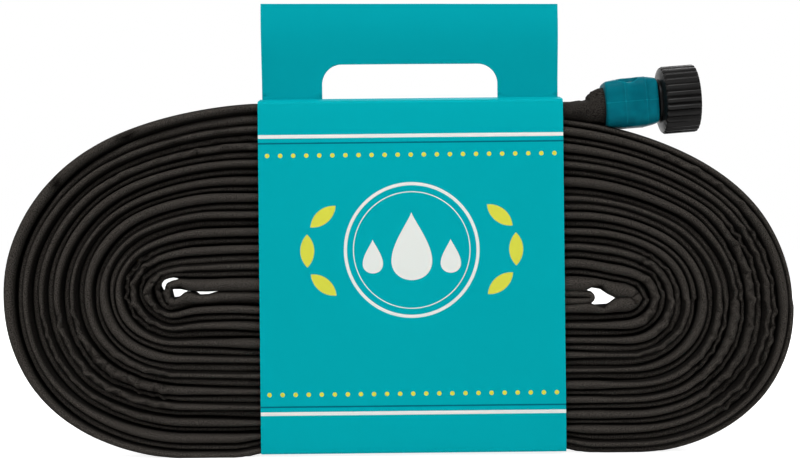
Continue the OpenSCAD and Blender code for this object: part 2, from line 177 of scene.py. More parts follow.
sleeve = {"x": 7.4, "width": 152.0}          # mm, its middle and its width
sleeveLeft = sleeve["x"] - sleeve["width"] / 2
sleeveRight = sleeve["x"] + sleeve["width"] / 2

# The hose, in mm. It is 14 mm across when it is full of water, and lies 22 mm wide when it is flat.
hose = {"width": 22.0, "thickness": 2.7, "endDiameter": 17.6, "roundDiameter": 14.0}

# The hank, in mm: a spiral of rings round a flat core, as in the part's source but with fuller ends
hank = {
    "turns": 20, "reachLeft": 196.5, "reachRight": 198.5,
    "coreLeft": 116.0, "coreRight": 119.5, "coreHeightLeft": 2.9, "coreHeightRight": 4.7, "coreTaper": 90.0,
    "middle": 81.0, "drop": 0.025, "topHeight": 93.3, "topRun": 58.0, "bottomRun": 103.0,
    "lowest": 0.95, "waist": 3.1, "waistEase": 16.0, "edgeRun": 0.4,
    "stagger": 1.5, "foldX": 98.1, "closedX": 32.0, "clipLength": 22.0,
    "tipShift": 2.2, "tipRings": 3.0,        # the innermost loop stands off the next one on the left
}

# The loop round the innermost one stands off it at the top: rings from the core's, and how far in mm
pushed = {"from": -4.2, "to": -0.8, "fadeIn": 0.2, "fadeOut": 1.6, "left": 0.6, "up": 1.4}

# How far the outermost turn stands off the next one: station, spread in stations, most in turns
loose = [(9, 6.0, 0.3), (8, 2.6, 0.62)]

# A turn's stations: degrees round the right end, the top, degrees round the left end, x along the bottom
endStep = 22.5
waistLeft, waistRight = sleeveLeft - hank["edgeRun"], sleeveRight + hank["edgeRun"]
bottomXs = [waistLeft - hank["waistEase"], waistLeft, sleeve["x"], waistRight, waistRight + hank["waistEase"]]
stations = ([("right", endStep * k) for k in range(5)] + [("top", 0.0)]
            + [("left", 90 - endStep * k) for k in range(9)]
            + [("bottom", x) for x in bottomXs]
            + [("right", -90 + endStep * k) for k in range(4)])
perTurn = len(stations)
firstRing = 4                                # the upper right, where the lead ends
leftTip = 10                                 # the station at the left tip
levelRing = perTurn * hank["turns"] + leftTip     # where the spiral is down to its core
lastRing = levelRing + 4
crossStation = leftTip + 7                   # where a turn crosses from in front to behind, in the sleeve
spiralTurns = (levelRing - firstRing) / perTurn


def middleAt(x):
    return hank["middle"] - hank["drop"] * x


def level(f):                                # 1 on the outermost turn, 0 at the core
    return 1 - (f - firstRing) / (levelRing - firstRing)


def loosened(f):                             # the turns inside the outermost one lie a little closer together
    t = (f - firstRing) / perTurn
    station = f % perTurn
    extra = sum(most * bell((station - at) / spread) for at, spread, most in loose)
    return 1 - (t + extra * ease((t - 0.9) / 0.25) * (1 - t / spiralTurns)) / spiralTurns


def coreHeight(x):
    along = limit((x + hank["coreLeft"]) / hank["coreTaper"])
    return mix(hank["coreHeightLeft"], hank["coreHeightRight"], along)


def drawnUp(x, out):                         # the sleeve draws the outermost bottom runs up
    away = (abs(x - sleeve["x"]) - sleeve["width"] / 2 + 3.5) / (hank["waistEase"] + 2.0)
    return hank["waist"] * (1 - ease(away)) * ease(1 - (1 - out) * 4.5)


def outer(k, core, wanted):                  # so that the first turn, at its own level, lies where wanted
    return core + (wanted - core) / level(k)


# Both ends are fuller than ellipses: the angle, the most in mm and its spread in degrees, fading to 0 at 90
fuller = {
    "right": [(-40.0, 6.0, 39.0), (35.0, 2.8, 24.0)],
    "left": [(-35.0, 3.3, 28.0), (45.0, 2.0, 18.0)],
    "fade": 12.0,
}


def fullness(side, angle):                   # how far the outermost turn stands out there
    swell = sum(most * bell((angle - at) / spread) for at, most, spread in fuller[side])
    return swell * (1 - bell((abs(angle) - 90) / fuller["fade"]))


def stationPoint(side, value, k, u):         # x, and height over the middle line, at level u
    if side == "top":
        return value, mix(coreHeight(value), hank["topHeight"], u)
    if side == "bottom":
        low = outer(k, coreHeight(value), middleAt(value) - hank["lowest"] - drawnUp(value, u / level(k)))
        return value, -mix(coreHeight(value), low, u)
    end = side.capitalize()
    out = 1 if side == "right" else -1
    tip, h, reach = hank["core" + end], hank["coreHeight" + end], hank["reach" + end]
    run = hank["topRun"] if value > 0 else hank["bottomRun"]
    c, n = math.cos(math.radians(value)), math.sin(math.radians(value))
    x1 = out * (run + (reach - run) * c)
    z1 = (hank["topHeight"] if value >= 0 else outer(k, h, middleAt(x1) - hank["lowest"])) * n
    x1 += out * fullness(side, value) * c
    z1 += fullness(side, value) * n
    return mix(out * (tip - h * (1 - c)), x1, u), mix(h * n, z1, u)


# Where the hank is pushed about by hand: x, z, shift in x and z, reach in x and z, only below this z
anywhere = 400.0
dents = [
    (-112.0, 79.0, 0.0, -2.9, 7.5, 13.0, 84.2),
    (150.0, 118.0, 0.5, 0.6, 14.0, 9.0, anywhere),
    (-150.0, 40.0, -0.5, -0.7, 12.0, 10.0, anywhere),
    (140.0, 33.0, 0.6, -0.5, 13.0, 9.0, anywhere),
    (88.0, 95.0, 0.0, 2.5, 17.0, 15.0, anywhere),
    (113.0, 88.5, 0.0, -1.7, 10.0, 8.0, anywhere),
    (116.0, 73.0, 0.0, 1.7, 10.0, 6.5, anywhere),
    (-110.0, 100.0, 0.0, -1.6, 20.0, 16.0, anywhere),
    (-80.0, 70.0, 0.0, 2.0, 24.0, 11.0, anywhere),
    (-116.0, 85.0, -2.5, 0.0, 16.0, 12.0, anywhere),
]


def spiralPoint(f):                          # centre of the hose at ring f, as x and z
    k = f % perTurn
    i = int(k)
    t = k - i
    (sideA, valueA), (sideB, valueB) = stations[i], stations[(i + 1) % perTurn]
    u = loosened(f)
    if sideA == sideB:
        x, h = stationPoint(sideA, mix(valueA, valueB, t), k, u)
    else:
        (xa, ha), (xb, hb) = stationPoint(sideA, valueA, i, u), stationPoint(sideB, valueB, i + 1, u)
        x, h = mix(xa, xb, t), mix(ha, hb, t)
    z = middleAt(x) + h
    off = between(f + perTurn - levelRing, pushed["from"], pushed["to"], pushed["fadeIn"], pushed["fadeOut"])
    x += hank["tipShift"] * bell((f - levelRing) / hank["tipRings"]) - pushed["left"] * off
    z += pushed["up"] * off
    for cx, cz, dx, dz, rx, rz, below in dents:
        w = bell((x - cx) / rx) * bell((z - cz) / rz) * ease((below - z) / 2.5)
        x, z = x + dx * w, z + dz * w
    return x, z


def depthAt(f):                              # turns lie by turns in front and behind
    s = hank["stagger"] if int(f // perTurn) % 2 else -hank["stagger"]
    return s * (1 - 2 * ease(f % perTurn - crossStation + 0.5))


def spiralCentre(f):
    x, z = spiralPoint(f)
    return np.array((x, depthAt(f), z))


# The innermost run, x and height: along the bottom of the core, round a fold and back to the closed end
innerLow = hank["coreHeightRight"] - 2.2
closedHeight = 1.6
foldRadius = (innerLow + closedHeight) / 2
foldAngles = [math.radians(a) for a in range(-90, 91, 30)]
innerRun = [(-78, -2.4), (-40, -2.8), (0, -innerLow), (40, -innerLow), (80, -innerLow)]
innerRun += [(hank["foldX"] - foldRadius * (1 - math.cos(a)), closedHeight - foldRadius * (1 - math.sin(a)))
             for a in foldAngles]
innerRun += [(x, closedHeight) for x in (80, 60, hank["closedX"] + hank["clipLength"], hank["closedX"])]

coupling = {"x": 104.7, "z": 175.2, "tilt": 4.0}     # the collar's mouth in mm, and its axis in degrees
axis = Vector((math.cos(math.radians(coupling["tilt"])), 0, math.sin(math.radians(coupling["tilt"]))))
mouth = Vector((coupling["x"], 0, coupling["z"]))


def onAxis(s):                               # point of the coupling's axis, s mm from the collar's mouth
    return mouth + axis * s


# x, y, z, width, height, roundness of the lead from the collar to the hank
leadRoute = [
    (*onAxis(2.4), hose["endDiameter"], hose["endDiameter"], 1.0),
    (*onAxis(0.6), 17.9, 18.0, 1.0),
    (104.0, 0, 174.3, 18.2, 18.7, 1.0),
    (102.4, 0, 173.6, 18.4, 18.4, 0.95),
    (100.9, 0, 173.1, 18.6, 17.0, 0.88),
    (99.3, -0.1, 172.4, 18.9, 14.5, 0.78),
    (97.2, -0.2, 172.0, 19.2, 12.4, 0.7),
    (92, -0.3, 172.0, 19.6, 10.8, 0.6),
    (84, -0.7, 172.2, 20.4, 9.6, 0.5),
    (76, -1.1, 172.6, 21.2, 7.2, 0.4),
    (67, -1.4, 172.9, 22, 4.6, 0.2),
]

print("route worked out")


# How the hose's folded edges look, in mm: each turn's edge is a bead that fills its share of the pitch
edges = {
    "visibleStep": 4.0, "hiddenStep": 14.0, "fineStep": 1.45, "leadStep": 0.9, "coreStep": 2.0,
    "turnStep": 9.5,                         # degrees
    "hiddenFrom": 4.0,                       # how far inside the sleeve the steps may be long
    "gap": 0.42,                             # left free on each side of a boundary between two edges
    "shadeFrom": 1.0, "shadeOver": 2.2,      # section points from the tip, over which the painted fold shade comes in
    "leadShade": 0.54,                        # the round lead has no folds: it is painted an even shade all over
    "frontShare": (0.36, 0.72),              # of the pitch, how far a front edge reaches to either side
    "backShare": (0.58, 0.7), "bothShares": 1.08,
    "loosePitch": 4.0, "corePitch": 4.4,     # where no turn lies outside or inside
    "outLimits": (0.75, 4.6), "inLimits": (0.5, 6.0), "firstIn": 4.5,
    "bodyPress": 0.04, "bodyLimits": (1.2, 3.6),     # the turns' bodies are pressed together
    "body": 1.35, "bodyOpen": (1.2, 1.4),    # half the thickness, by itself and beside the crescent
    "tip": 10.5, "tipWander": 0.3, "coreTip": 10.6,  # from the middle to the edge's tip
    "roundness": 1.75, "roundMost": 4.6,     # how deep an edge's round part is, over its radius
    "flatAt": 2.2,                           # the body's flat faces start this far from the middle
    "sunk": 3.4, "sunkBehind": 0.3, "sunkInFront": -0.25,    # how deep some stretches lie, and how often
    "farthest": 10.9,                        # no point lies further from the hose's middle line
    "lowest": 0.02,
}

# Puckered stretches: turns from and to, stations from and to, how deep, how long each pucker is
puckers = [
    (4, 8, 10.2, 13.9, 1.7, 6.4),
    (9, 10, 11.4, 14.0, 0.9, 7.0),
    (3, 4, 5.4, 8.2, 1.0, 9.0),
    (15, 20, 7.4, 13.2, 1.5, 5.2),
    (3, 7, 21.4, 25.6, 1.3, 7.0),
    (8, 11, 21.6, 24.6, 1.2, 6.0),
    (2, 2, 25.0, 26.8, 1.3, 7.5),
    (15, 20, 21.4, 26.8, 1.5, 5.4),
    (12, 14, 20.2, 23.4, 1.0, 6.0),
]
# What a pucker does: it pulls the tip back, thins the edge and swings it up and down, less at the back
pucker = {
    "pull": 3.4, "thin": 0.62, "swing": 0.9, "behind": 0.6, "outside": 0.5,
    "from": 6.5, "over": 4.0,                # mm from the middle to where the edge's tip starts
    "always": 0.06, "alwaysLength": 30.0,    # even the smooth stretches have a trace of them
    "fade": 0.5,                             # stations
}

# Single dents in an edge: turn, station, how deep, how long
notches = [
    (0, 8.45, 5.8, 1.8), (0, 7.5, 4.8, 2.1), (0, 6.3, 0.9, 4.0), (2, 7.7, 1.5, 2.2), (2, 7.0, 2.2, 2.0),
    (2, 6.45, 1.7, 2.2), (3, 6.4, 1.2, 4.0),
    (5, 12.1, 1.6, 4.0), (6, 11.5, 1.5, 3.5), (7, 12.6, 1.7, 4.5), (5, 13.2, 1.2, 5.0), (9, 13.4, 0.9, 6.0),
    (2, 25.7, 1.6, 6.0), (3, 22.7, 2.0, 4.5), (5, 22.2, 2.0, 4.0), (6, 23.6, 1.4, 4.0), (4, 24.6, 1.2, 5.0),
    (8, 21.8, 1.6, 4.0), (11, 22.6, 1.2, 4.0), (13, 21.4, 1.3, 4.0),
]
# painted shade in the notches grows with their depth, up to full at the depth given here
notch = {"outside": 0.6, "outermost": 0.1, "thin": 0.4, "shadeFullAt": 5.0, "stationLength": 22.0, "reach": 1.2}

# The innermost loops on the left lean, so that light comes through beside them
lean = {"x": -117.0, "z": 87.0, "reach": 9.0, "slope": 0.17}


def wander(a, b):                            # smooth, repeatable variation from -1 to 1
    return (math.sin(1.7 * a + 2.3 * b + 1.3 * math.sin(0.9 * b - 1.1 * a))
            + math.sin(3.1 * a - 1.9 * b + 0.8) + 0.7 * math.sin(5.3 * a + 4.1 * b + 2.0)) / 2.7


def layer(f):                                # counts the turns from the outside, from crossing to crossing
    return int((f - crossStation) // perTurn) + 1


def aroundTurn(station):                     # the first stations are counted on after the last ones
    return station + perTurn if station < 5 else station


def share(n, station, front):                # how far a turn's wide edge reaches, as a share of the pitch
    low, high = edges["frontShare"]
    reach = mix(low, high, limit(0.5 + 0.8 * wander(n * 2.37, station * 0.3 + n * 1.61)))
    return reach if front else limit(edges["bothShares"] - reach, *edges["backShare"])


def normalAt(f):                             # points inwards
    (xa, za), (xb, zb) = spiralPoint(f - 0.02), spiralPoint(f + 0.02)
    length = math.hypot(xb - xa, zb - za)
    return -(zb - za) / length, (xb - xa) / length


def towards(f, g, normal):                   # distance along the normal from ring f to ring g
    (xa, za), (xb, zb) = spiralPoint(f), spiralPoint(g)
    return abs((xb - xa) * normal[0] + (zb - za) * normal[1])


# The innermost loops' holes: x and height of the lowest face above each, and of the highest face below it
leftHoleTop = [(-125, -3.5), (-114.2, -3.4), (-112.2, 2.4), (-110.2, 2.6), (-106.0, -0.1), (-103, -0.4),
               (-94, -0.45), (-89.5, 0.1), (-70, 0.4)]
leftHoleLow = [(-125, -2.9), (-114.1, -3.0), (-111.9, -4.6), (-106.2, -0.2), (-104.6, 0.0), (-102.8, -0.4),
               (-99.5, -1.8), (-94.5, -1.7), (-91.5, -0.3), (-90, 0.1), (-70, 0.4)]
rightHoleTop = [(86, 2.2), (95.2, 2.4), (96.8, 4.2), (99.3, 5.2), (102.2, 6.0), (104, 4.4), (105.8, 1.5),
                (108.5, 0.2), (110, -0.6), (130, -0.6)]
rightHoleLow = [(86, -4.2), (92, -3.5), (94.8, -2.7), (96.4, -2.9), (100.4, -4.5), (104, -5.9), (106.2, -4.6),
                (107, -2.6), (108.5, 0.2), (110, 0.6), (130, 0.6)]


def onLine(line, x):
    return float(np.interp(x, [p[0] for p in line], [p[1] for p in line]))


# How far the edges reach in the core: past its tips, beside its holes, along its runs and at its fold
core = {
    "leftTip": -113.5, "leftFront": 1.9, "leftBack": 0.9,
    "rightTip": 114.0, "rightSwell": 1.1, "rightBack": 1.2,
    "least": 0.5, "most": 6.0, "backMost": 1.6, "touching": 0.3, "looseFrom": 100.0,
    "run": 1.9, "endFront": 2.7, "endBack": 2.6, "endInside": 6.0,
    "foldFrom": 80.0, "foldX": 96.0, "foldHeight": -1.2, "foldReach": 6.0,
    "foldOut": (1.9, 0.7), "foldIn": (2.0, 2.1),
}


def coreReach(x, z, front):                  # how far the edge of an innermost ring reaches inwards
    h = z - middleAt(x)
    if x < core["leftTip"]:
        return core["leftFront"] if front else core["leftBack"]
    if x > core["rightTip"]:
        return core["rightSwell"] * math.hypot(x - core["rightTip"], h) if front else core["rightBack"]
    top, low = (leftHoleTop, leftHoleLow) if x < 0 else (rightHoleTop, rightHoleLow)
    top, low = onLine(top, x), onLine(low, x)
    closed = top - low < core["touching"] and x < core["looseFrom"]
    most = core["most"] if front or closed else core["backMost"]
    return limit(h - top if h > 0 else low - h, core["least"], most)


# A crescent of light shows between the innermost loop and the next one, at the upper left
crescent = {
    "from": -4.03, "to": -0.4, "fadeIn": 0.05, "fadeOut": 0.9,
    "innerFace": 1.25, "outerFace": 1.5, "backLess": 0.4, "closing": 0.9,    # mm
}


def opened(f):                               # 1 along the crescent, counted on the innermost loop
    return between(f - levelRing, crescent["from"], crescent["to"], crescent["fadeIn"], crescent["fadeOut"])


def reaches(f, x, z):                        # how far the edges reach out and in, in front and behind
    normal = normalAt(f)
    n, station = layer(f), f % perTurn
    innermost = f + perTurn > lastRing
    pitchOut = towards(f, f - perTurn, normal) if f - perTurn >= firstRing else edges["loosePitch"]
    pitchIn = edges["corePitch"] if innermost else towards(f, f + perTurn, normal)
    found = []
    for front in (True, False):
        wide = (n % 2 == 0) == front
        before, own, after = (share(n + d, station, front) for d in (-1, 0, 1))
        out = pitchOut * (own if wide else 1 - before) - edges["gap"]
        into = pitchIn * (own if wide else 1 - after) - edges["gap"]
        if f < firstRing + perTurn:
            out = hose["thickness"] / 2
            into = min(into, edges["firstIn"])
        if innermost:
            into = coreReach(x, z, front)
        outerFace = crescent["outerFace"] - (0 if front else crescent["backLess"])
        out = mix(out, crescent["innerFace"], opened(f)) + crescent["closing"] * opened(f + perTurn)
        into = mix(into, outerFace, opened(f + perTurn)) + crescent["closing"] * opened(f + 2 * perTurn)
        found += [limit(out, *edges["outLimits"]), limit(into, *edges["inLimits"])]
    halves = [limit(pitch / 2 + edges["bodyPress"], *edges["bodyLimits"]) for pitch in (pitchOut, pitchIn)]
    return found, halves


def zigzag(v):                               # straight stretches up and down between -1 and 1
    return abs(v % 1 * 2 - 1) * 2 - 1


def puckerAt(n, station, s):                 # how much the edge is puckered here, and how it lies
    around = aroundTurn(station)
    depth, length = pucker["always"], pucker["alwaysLength"]
    for first, last, start, end, strength, each in puckers:
        if first <= n <= last:
            w = between(around, start, end, pucker["fade"], pucker["fade"])
            w *= 0.75 + 0.25 * wander(n * 3.1, first)
            if w * strength > depth:
                depth, length = w * strength, each
    phase = s / length + 0.35 * wander(s / 23, n)
    pinch = (1 - abs(math.sin(math.pi * phase))) ** 3
    swing = zigzag(phase * 0.5 + 0.3 * wander(s / 9, n * 1.7))
    dent = sum(deep * bell((around - at) * notch["stationLength"] / long)
               for turn, at, deep, long in notches if turn == n and abs(around - at) < notch["reach"])
    return depth, pinch, swing, dent


def hidden(x):                               # well inside the sleeve
    return sleeveLeft + edges["hiddenFrom"] < x < sleeveRight - edges["hiddenFrom"]


def detailed(i):                             # whether there is a pucker or a notch from ring i on
    n, around = layer(i), aroundTurn(i % perTurn)
    return (any(first <= n <= last and start - 1 < around < end for first, last, start, end, *_ in puckers)
            or any(turn == n and abs(at - around - 0.5) < 1 for turn, at, *_ in notches))


def turnedAlong(line):                       # degrees
    turned = 0.0
    for a, b, c in zip(line, line[1:], line[2:]):
        u, v = (b[0] - a[0], b[1] - a[1]), (c[0] - b[0], c[1] - b[1])
        turned += abs(math.atan2(u[0] * v[1] - u[1] * v[0], u[0] * v[0] + u[1] * v[1]))
    return math.degrees(turned)


def ringsAlong():                            # the number of every ring along the spiral
    numbers = []
    for i in range(firstRing, lastRing):
        line = [spiralPoint(i + t / 6) for t in range(7)]
        length = sum(math.dist(a, b) for a, b in zip(line, line[1:]))
        (xa, _), (xb, _) = line[0], line[-1]
        step = edges["fineStep"] if detailed(i) else edges["visibleStep"]
        if hidden(xa) and hidden(xb):
            parts = math.ceil(length / edges["hiddenStep"])
        elif hidden(xa) or hidden(xb) or length > 60:    # through the sleeve: fine only where it shows
            stops = [0.0]
            while stops[-1] < 1:
                x = mix(xa, xb, stops[-1])
                stops.append(stops[-1] + (edges["hiddenStep"] if hidden(x) else step) / length)
            numbers += [i + t for t in stops if t < 1 - 0.3 * step / length]
            continue
        else:
            parts = max(math.ceil(length / step), math.ceil(turnedAlong(line) / edges["turnStep"]))
        numbers += [i + t / parts for t in range(parts)]
    return numbers


def curvePoint(p0, p1, p2, p3, t):           # Catmull-Rom through p1 and p2
    return 0.5 * (2 * p1 + (p2 - p0) * t + (2 * p0 - 5 * p1 + 4 * p2 - p3) * t * t
                  + (3 * p1 - p0 - 3 * p2 + p3) * t ** 3)


def alongCurve(points, closest):             # a curve's points through the stops, each with its stop's number
    found = []
    for j in range(len(points) - 1):
        p0, p1, p2, p3 = (points[limit(j + d, 0, len(points) - 1)] for d in (-1, 0, 1, 2))
        step = edges["hiddenStep"] if hidden(p1[0]) and hidden(p2[0]) else closest
        parts = max(1, round(float(np.linalg.norm(p2 - p1)) / step))
        found += [(curvePoint(p0, p1, p2, p3, k / parts), j + k / parts) for k in range(parts)]
    return found + [(points[-1], float(len(points) - 1))]


def held(y, h):                              # y drawn in until the point is within the farthest distance
    return math.copysign(min(abs(y), math.sqrt(edges["farthest"] ** 2 - h * h)), y)


def section(reach, body, tips):              # depth and height, from the front tip round by the inner side
    outFront, inFront, outBack, inBack = reach
    line = {}
    pairs = {1: (inFront, outFront, inBack, outBack), -1: (outFront, inFront, outBack, inBack)}
    for side, hollow in pairs.items():
        half = body[1] if side > 0 else body[0]
        points = []
        for end in (0, 1):
            own, other = hollow[2 * end], hollow[2 * end + 1]
            radius, centre = (own + other) / 2, (own - other) / 2
            deep = min(edges["roundness"] * radius, edges["roundMost"])
            ring = []
            for a in (0, 30, 64, 98, 140):
                y = tips[end] - deep * (1 - math.cos(math.radians(a)))
                h = centre + radius * math.sin(math.radians(a))
                h = max(h, half) if a > 120 else h
                y = held(y, h)
                ring.append((-y if end == 0 else y, h))
            points += ring if end == 0 else [(-edges["flatAt"], half), (edges["flatAt"], half)] + ring[::-1]
        line[side] = points
    return line[1] + [(y, -h) for y, h in line[-1][-2:0:-1]]


def roundOutline(width, height, count):
    turns = [2 * math.pi * k / count for k in range(count)]
    return [(-width / 2 * math.cos(a), height / 2 * math.sin(a)) for a in turns]


# The loose cloth of the lead, in mm: five broad folds, nine fine ones and one crease across them
ruffle = {
    "startX": 86.0, "length": 18.0, "fade": 4.0, "depth": 0.35, "broad": 0.125, "fine": 0.02,
    "creaseAt": 9.5, "creaseSlant": 2.5, "creaseDepth": 0.14, "creaseWidth": 0.9,
}


def ruffled(y, h, x):
    r = ruffle
    away = x - r["startX"]
    ripple = r["depth"] * between(away, 0, r["length"], r["fade"], r["fade"])
    angle = math.atan2(h, -y)
    across = away - r["creaseAt"] - r["creaseSlant"] * math.cos(angle - 0.6)
    fold = 1 + ripple * r["broad"] * math.sin(5 * angle + away * 0.35)
    fold += r["fine"] * math.sin(9 * angle - away * 0.8)
    fold -= ripple * r["creaseDepth"] * bell(across / r["creaseWidth"])
    return y * fold, h * fold


def leadRings():                             # centre and section of each ring from the collar to the hank
    stops = [np.array(stop[:3]) for stop in leadRoute] + [spiralCentre(firstRing)]
    sizes = leadRoute + [(0, 0, 0, hose["width"], hose["thickness"], 0.0)]
    rings = []
    for place, j in alongCurve(stops, edges["leadStep"])[:-1]:
        k, t = int(j), j - int(j)
        a, b = sizes[k], sizes[min(k + 1, len(sizes) - 1)]
        width, height, roundness = (mix(a[c], b[c], t) for c in (3, 4, 5))
        half = max(height, 2.9) / 2
        flat = section([half] * 4, [max(edges["body"], height * 0.4)] * 2, [width / 2] * 2)
        q = ease(roundness / 0.35)
        shape = [ruffled(mix(ya, yb, q), mix(ha, hb, q), place[0])
                 for (ya, ha), (yb, hb) in zip(flat, roundOutline(width, height, len(flat)))]
        rings.append((place, shape))
    return rings


def sunkAt(n, station):                      # turns behind sink by long stretches, those in front seldom
    inFront = n % 2 == 0
    if inFront and not 1 < n < hank["turns"] - 2:
        return 0.0
    often = edges["sunkInFront"] if inFront else edges["sunkBehind"]
    return edges["sunk"] * limit(often + 1.3 * wander(n * 1.9 + 4, station * 0.16))


def spiralRings(start):                      # centre, section and notch of each ring of the spiral
    before, travelled, rings = start, 0.0, []
    for f in ringsAlong():
        place = spiralCentre(f)
        travelled += float(np.linalg.norm(place - before))
        before = place
        n, station = layer(f), f % perTurn
        reach, halves = reaches(f, place[0], place[2])
        depth, pinch, swing, dent = puckerAt(n, station, travelled)
        body = [mix(half, least, opened(g))
                for half, least, g in zip(halves, edges["bodyOpen"], (f, f + perTurn))]
        front = edges["tip"] + edges["tipWander"] * wander(travelled / 31, n * 1.3) - sunkAt(n, station)
        back = edges["tip"] + edges["tipWander"] * wander(travelled / 27, n * 2.1 + 9)
        shape = []
        for y, h in section(reach, body, (front, back)):
            inwards = h > 0
            near = limit((abs(y) - pucker["from"]) / pucker["over"])     # 1 at the tips, 0 in the body
            facing = 1 if y < 0 else pucker["behind"]
            pulled = depth * (pinch if inwards else pucker["outside"] * (1 - pinch) ** 6)
            dented = dent * (1 if inwards else notch["outside"] if n else notch["outermost"])
            y -= math.copysign(near * facing * (pucker["pull"] * pulled + dented), y)
            if f + perTurn <= lastRing and (inwards or n > 0):
                h *= 1 - pucker["thin"] * near * limit(pulled + notch["thin"] * dent)
            h += pucker["swing"] * near * depth * swing
            shape.append((held(y, h), h))
        rings.append((place, shape, limit(dent / notch["shadeFullAt"])))
    # each ring carries its notch's painted shade
    return rings


def coreRings():                             # along the core, round the fold and back to the closed end
    stops = [spiralCentre(lastRing)] + [np.array((x, 0.0, middleAt(x) + h)) for x, h in innerRun]
    rings = []
    for place, _ in alongCurve(stops, edges["coreStep"]):
        x, h = place[0], place[2] - middleAt(place[0])
        fold = limit(1 - math.hypot(x - core["foldX"], h - core["foldHeight"]) / core["foldReach"])
        reach = [core["run"]] * 4
        if x < sleeveLeft + core["endInside"]:
            front, back = (coreReach(x, place[2], facing) for facing in (True, False))
            reach = [core["endFront"], front, core["endBack"], back]
        elif x > core["foldFrom"]:
            reach = [mix(*core["foldOut"], fold), mix(*core["foldIn"], fold)] * 2
        rings.append((place, section(reach, [edges["body"]] * 2, [edges["coreTip"]] * 2)))
    return rings


def hoseSurface(points, shapes):             # every ring's points in mm, square to the route
    tangents = np.empty_like(points)
    tangents[1:-1] = points[2:] - points[:-2]
    tangents[0], tangents[-1] = points[1] - points[0], points[-1] - points[-2]
    flat = np.hypot(tangents[:, 0], tangents[:, 2])[:, None]
    normals = np.stack([-tangents[:, 2], np.zeros(len(points)), tangents[:, 0]], axis=1) / flat
    centres = points[:, None, :]
    verts = centres + shapes[:, :, 1:2] * normals[:, None, :]
    verts[:, :, 1] += shapes[:, :, 0]
    offsets = [(verts[:, :, 0] - lean["x"]) / lean["reach"], (verts[:, :, 2] - lean["z"]) / lean["reach"]]
    verts[:, :, 0] -= lean["slope"] * shapes[:, :, 0] * np.exp(-offsets[0] ** 2 - offsets[1] ** 2)
    away = verts - centres
    far = np.linalg.norm(away, axis=2)[:, :, None]
    verts = centres + away * np.minimum(1, edges["farthest"] / far)
    verts[:, :, 2] = np.maximum(verts[:, :, 2], edges["lowest"])
    return verts


def layCloth(mesh, ring, side, along, shapes):   # a UV map in metres: along the hose, and round its section
    closed = np.concatenate([shapes, shapes[:, :1]], axis=1)
    girth = np.cumsum(np.linalg.norm(np.diff(closed, axis=1), axis=2), axis=1)
    girth = np.concatenate([np.zeros((len(shapes), 1)), girth], axis=1)
    u = np.stack([along[ring], along[ring], along[ring + 1], along[ring + 1]], axis=-1)
    v = np.stack([girth[ring, side], girth[ring, side + 1], girth[ring + 1, side + 1], girth[ring + 1, side]],
                 axis=-1)
    cloth = np.zeros((len(mesh.loops), 2), dtype=np.float32)
    cloth[:u.size] = np.stack([u, v], axis=-1).reshape(-1, 2) * mm
    mesh.uv_layers.new(name="cloth").data.foreach_set("uv", cloth.ravel())


def foldShadeMap(rings, count, leadCount, notchShades):   # painted shade: 0 on the edges, 1 down in the folds and in the notches
    fromTip = np.minimum(np.arange(count), count - np.arange(count))
    fromTip = np.minimum(fromTip, count // 2 - fromTip)      # 0 at both tips, in points of the section
    shadeInFolds = np.tile(np.clip((fromTip - edges["shadeFrom"]) / edges["shadeOver"], 0, 1), (rings, 1))
    shadeInFolds[:leadCount] = edges["leadShade"]
    spiral, innerSide = slice(leadCount, leadCount + len(notchShades)), slice(1, count // 2)
    shadeInFolds[spiral, innerSide] = np.maximum(shadeInFolds[spiral, innerSide], np.array(notchShades)[:, None])
    return shadeInFolds


def makeHose(material):
    lead = leadRings()
    spiral = spiralRings(lead[-1][0])
    made = [ring[:2] for ring in lead + spiral + coreRings()]
    points, shapes = (np.array(part) for part in zip(*made))
    rings, count = shapes.shape[:2]
    along = np.concatenate([[0], np.cumsum(np.linalg.norm(np.diff(points, axis=0), axis=1))])
    ring, side = np.meshgrid(np.arange(rings - 1), np.arange(count), indexing="ij")
    here, after = ring * count + side, ring * count + (side + 1) % count
    quads = np.stack([here, after, after + count, here + count], axis=-1).reshape(-1, 4)
    ends = [list(range(count - 1, -1, -1)), [(rings - 1) * count + k for k in range(count)]]
    mesh = bpy.data.meshes.new("hose")
    mesh.from_pydata((hoseSurface(points, shapes).reshape(-1, 3) * mm).tolist(), [], quads.tolist() + ends)
    layCloth(mesh, ring, side, along, shapes)
    # the painted shade of the folds and notches is kept on the hose's points
    shadeInFolds = foldShadeMap(rings, count, len(lead), [crease for place, shape, crease in spiral])
    tones = mesh.attributes.new("shadeInFolds", "FLOAT", "POINT")
    tones.data.foreach_set("value", shadeInFolds.ravel().astype(np.float32))
    piece = newPiece("soaker_hose", mesh, material, "pack")
    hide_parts("hose_hank", "hose_lead")


makeHose(makeWovenHose("wovenPolyester", True))


# Small motifs of a print, as masks from 0 to 1 on the card's own x and z

def placed(tree, place, x, z, wide, high, turn=0.0):     # the motif's own coordinates, -1 to 1
    mapped = addNode(tree, "Mapping", {
        "Vector": place, "Location": (x * mm, 0, z * mm), "Rotation": (0, math.radians(turn), 0),
        "Scale": (wide * mm, 1, high * mm)}, vector_type="TEXTURE")
    return addNode(tree, "SeparateXYZ", {0: mapped.outputs["Vector"]}).outputs


def edged(tree, value, width):               # 1 where value is above 0, with an edge as wide as given
    ramp = addNode(tree, "MapRange", {"Value": value, "From Min": 0.0, "From Max": width})
    return ramp.outputs["Result"]


